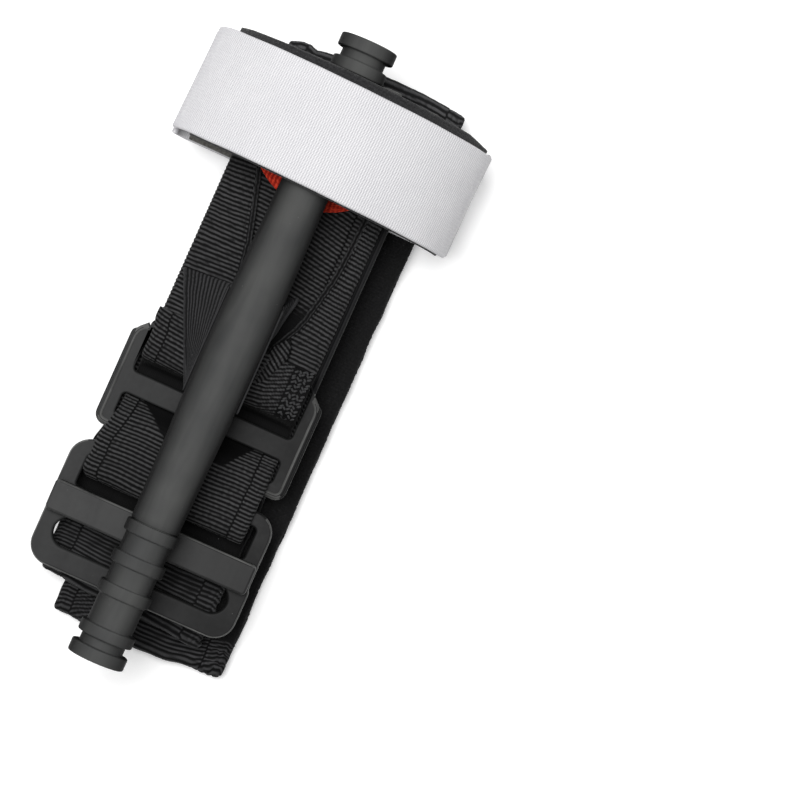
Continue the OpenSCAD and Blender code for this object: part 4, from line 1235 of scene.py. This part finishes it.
def turnedSheet(name, line, s, thick, y0, y1, relief, seed, shift):
    # a path in x and z carried along y between y0 and y1, then turned about the middle of the strap's width
    high = y1(line[:, 0]) if callable(y1) else np.full(len(line), float(y1))
    width = float(np.max(high) - y0)
    c = np.r_[0, 0.15, 0.4, 0.8, np.arange(1.2, width - 1.1, 0.5), width - np.array([0.8, 0.4, 0.15, 0])] / width
    gridY = y0 + (high - y0)[:, None] * c[None]
    x, z, along = (np.broadcast_to(v, gridY.shape) for v in (line[:, :1], line[:, 1:], s[:, None]))
    edgeWave = 0.03 * ripple(along, gridY * 0, 16, seed)
    turn, centreY = np.radians(shift[2]), (frontLow[1] + frontHigh[1]) / 2
    tiltX = x * np.cos(turn) - (gridY - centreY) * np.sin(turn)
    tiltY = centreY + x * np.sin(turn) + (gridY - centreY) * np.cos(turn) + edgeWave
    middle = np.stack([tiltX + shift[0], tiltY + shift[1], z], -1)
    e = np.minimum(np.minimum(gridY - y0, high[:, None] - gridY), np.minimum(along, s[-1] - along))
    height = relief(along, gridY)
    rise = ribRise(e, thick / 2, 0.55, 1, 1 - height)
    return slab(name, middle, rise, rise, np.stack([along, gridY, 1 - height], -1))


twill = lambda s, y: timeLook["relief"] * (
    0.5 + 0.5 * np.cos(2 * np.pi * s / timeLook["pitch"] + 0.6 * ripple(s, y, 4, 3)))
fuzzy = lambda s, y: 0.12 * (0.5 + 0.4 * ripple(s, y, 0.9, 7, 12))
y0, y1 = frontLow[1], frontHigh[1]
front = archSlab("time_strap_front_tape", 0, timeLook["thick"], 1.2, 178.8, y0, y1, twill, 0.14, 101)
inner = timeLook["thick"] / 2 + 0.05 + timeLook["lining"] / 2
reveal = lambda x: y1 + np.interp(x, (-31, -26, -18, -6, 4, 14, 27, 31), (0.9, 1.5, 1.7, 2.0, 2.1, 2.1, 1.9, 1.1))
lining = archSlab("time_strap_lining_pile", inner, timeLook["lining"], 5, 154, y0 - 0.3, reveal, fuzzy, 0.4, 103)
closure = archSlab("time_strap_hook_patch", inner + 0.85, 0.7, 5, 22, closeLow[1], closeHigh[1], fuzzy, 0.3, 105)
hingeX, hingeY = timeLook["shift"][0] - loopA, (y0 + y1) / 2
for piece, material, slotName, node in ((front, whiteTape, "white_tape", "time_strap_front"),
                                        (lining, liningDark, "strap_lining", "time_strap_lining")):
    finishPiece(piece, material, [node])
    (hingeX - 1.2) / perMetre
    hingeY / perMetre
    (hingeX + 5.5) / perMetre
    hingeY / perMetre
    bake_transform(piece)
finishPiece(closure, hookGrey, ["time_strap_closure"], "time_strap_flap")


def backPath(inset):
    # flat under the plate with both ends turned up to the hinge line, in x and z
    z = backLow[2] + timeLook["thick"] / 2 + inset
    bend = loopMidZ - z
    return evenSteps(np.vstack([arcPoints((-loopA + inset + bend, loopMidZ), bend, 180, 270, 12),
                                arcPoints((loopA - inset - bend, loopMidZ), bend, 270, 360, 12)]), 0.2)


finishPiece(turnedSheet("time_strap_back_tape", *backPath(0), timeLook["thick"], y0, y1, twill, 107,
                        timeLook["backShift"]),
            whiteTape, ["time_strap_back"], "pack")
innerLine, innerWay = backPath(timeLook["thick"] / 2 + 0.4)
keep = (innerLine[:, 0] < -18) & (innerLine[:, 0] > -30)
finishPiece(turnedSheet("time_strap_back_lining", innerLine[keep], innerWay[keep] - innerWay[keep][0], 0.7,
                        y0 + 0.35, y1 - 0.2, fuzzy, 109, timeLook["backShift"]),
            liningPale, ["time_strap_back"], "pack")
print("time strap closed")

# Sewing

sewLook = {"thread": 0.13, "stitch": 1.35, "inward": 1.25, "seamStep": 2.0,
           "tackThread": 0.27, "tackColumns": (14.5, 15.35, 16.2, 17.05, 17.9), "tackStep": 0.92}


def lipSeams(look):
    # starts and ends of stitches at a fixed distance from each lip's edge, one after the other
    y = np.arange(6, 60, look["seamStep"])
    return [np.concatenate([placed(np.interp(y + ahead, sheathY, edge) + side * look["inward"], y + ahead,
                                   sheathHigh[2] - 0.02) for edge, side in zip(lipEdges, (-1, 1))])
            for ahead in (0, look["stitch"])]


sheathSewing = stitches("sheath_seam_thread", *lipSeams(sewLook), sewLook["thread"])
finishPiece(sheathSewing, threadBlack, ["sheath_stitching"], "pack")


def loopHeight(y):
    # top of the buckle webbing's upper stretch at a place along it
    line = softCorners(loopPath[:5], 2.0)[::-1]
    return np.interp(y, line[:, 0], line[:, 1]) + loopLook["thick"] / 2


def tackZone(look):
    # short slanted stitches in close columns, leaning one way and the other in turn
    y, x = np.meshgrid(np.arange(-9.6, 2.3, look["tackStep"]), look["tackColumns"], indexing="ij")
    lean = np.where(np.arange(len(look["tackColumns"])) % 2 == 0, 0.40, -0.34)[None] + 0 * y
    draw = np.random.default_rng(7)
    x = x + draw.uniform(-0.22, 0.22, x.shape)
    y = y + draw.uniform(-0.3, 0.3, x.shape) + 0.25 * (x - 14)
    return [placed(x + way * lean, y + way * 0.3, loopHeight(y + way * 0.3) - 0.05).reshape(-1, 3) for way in (-1, 1)]


tacks = stitches("buckle_loop_tack_thread", *tackZone(sewLook), sewLook["tackThread"])
finishPiece(tacks, threadBlack, ["buckle_loop_stitching"], "pack")
print("sewing done")
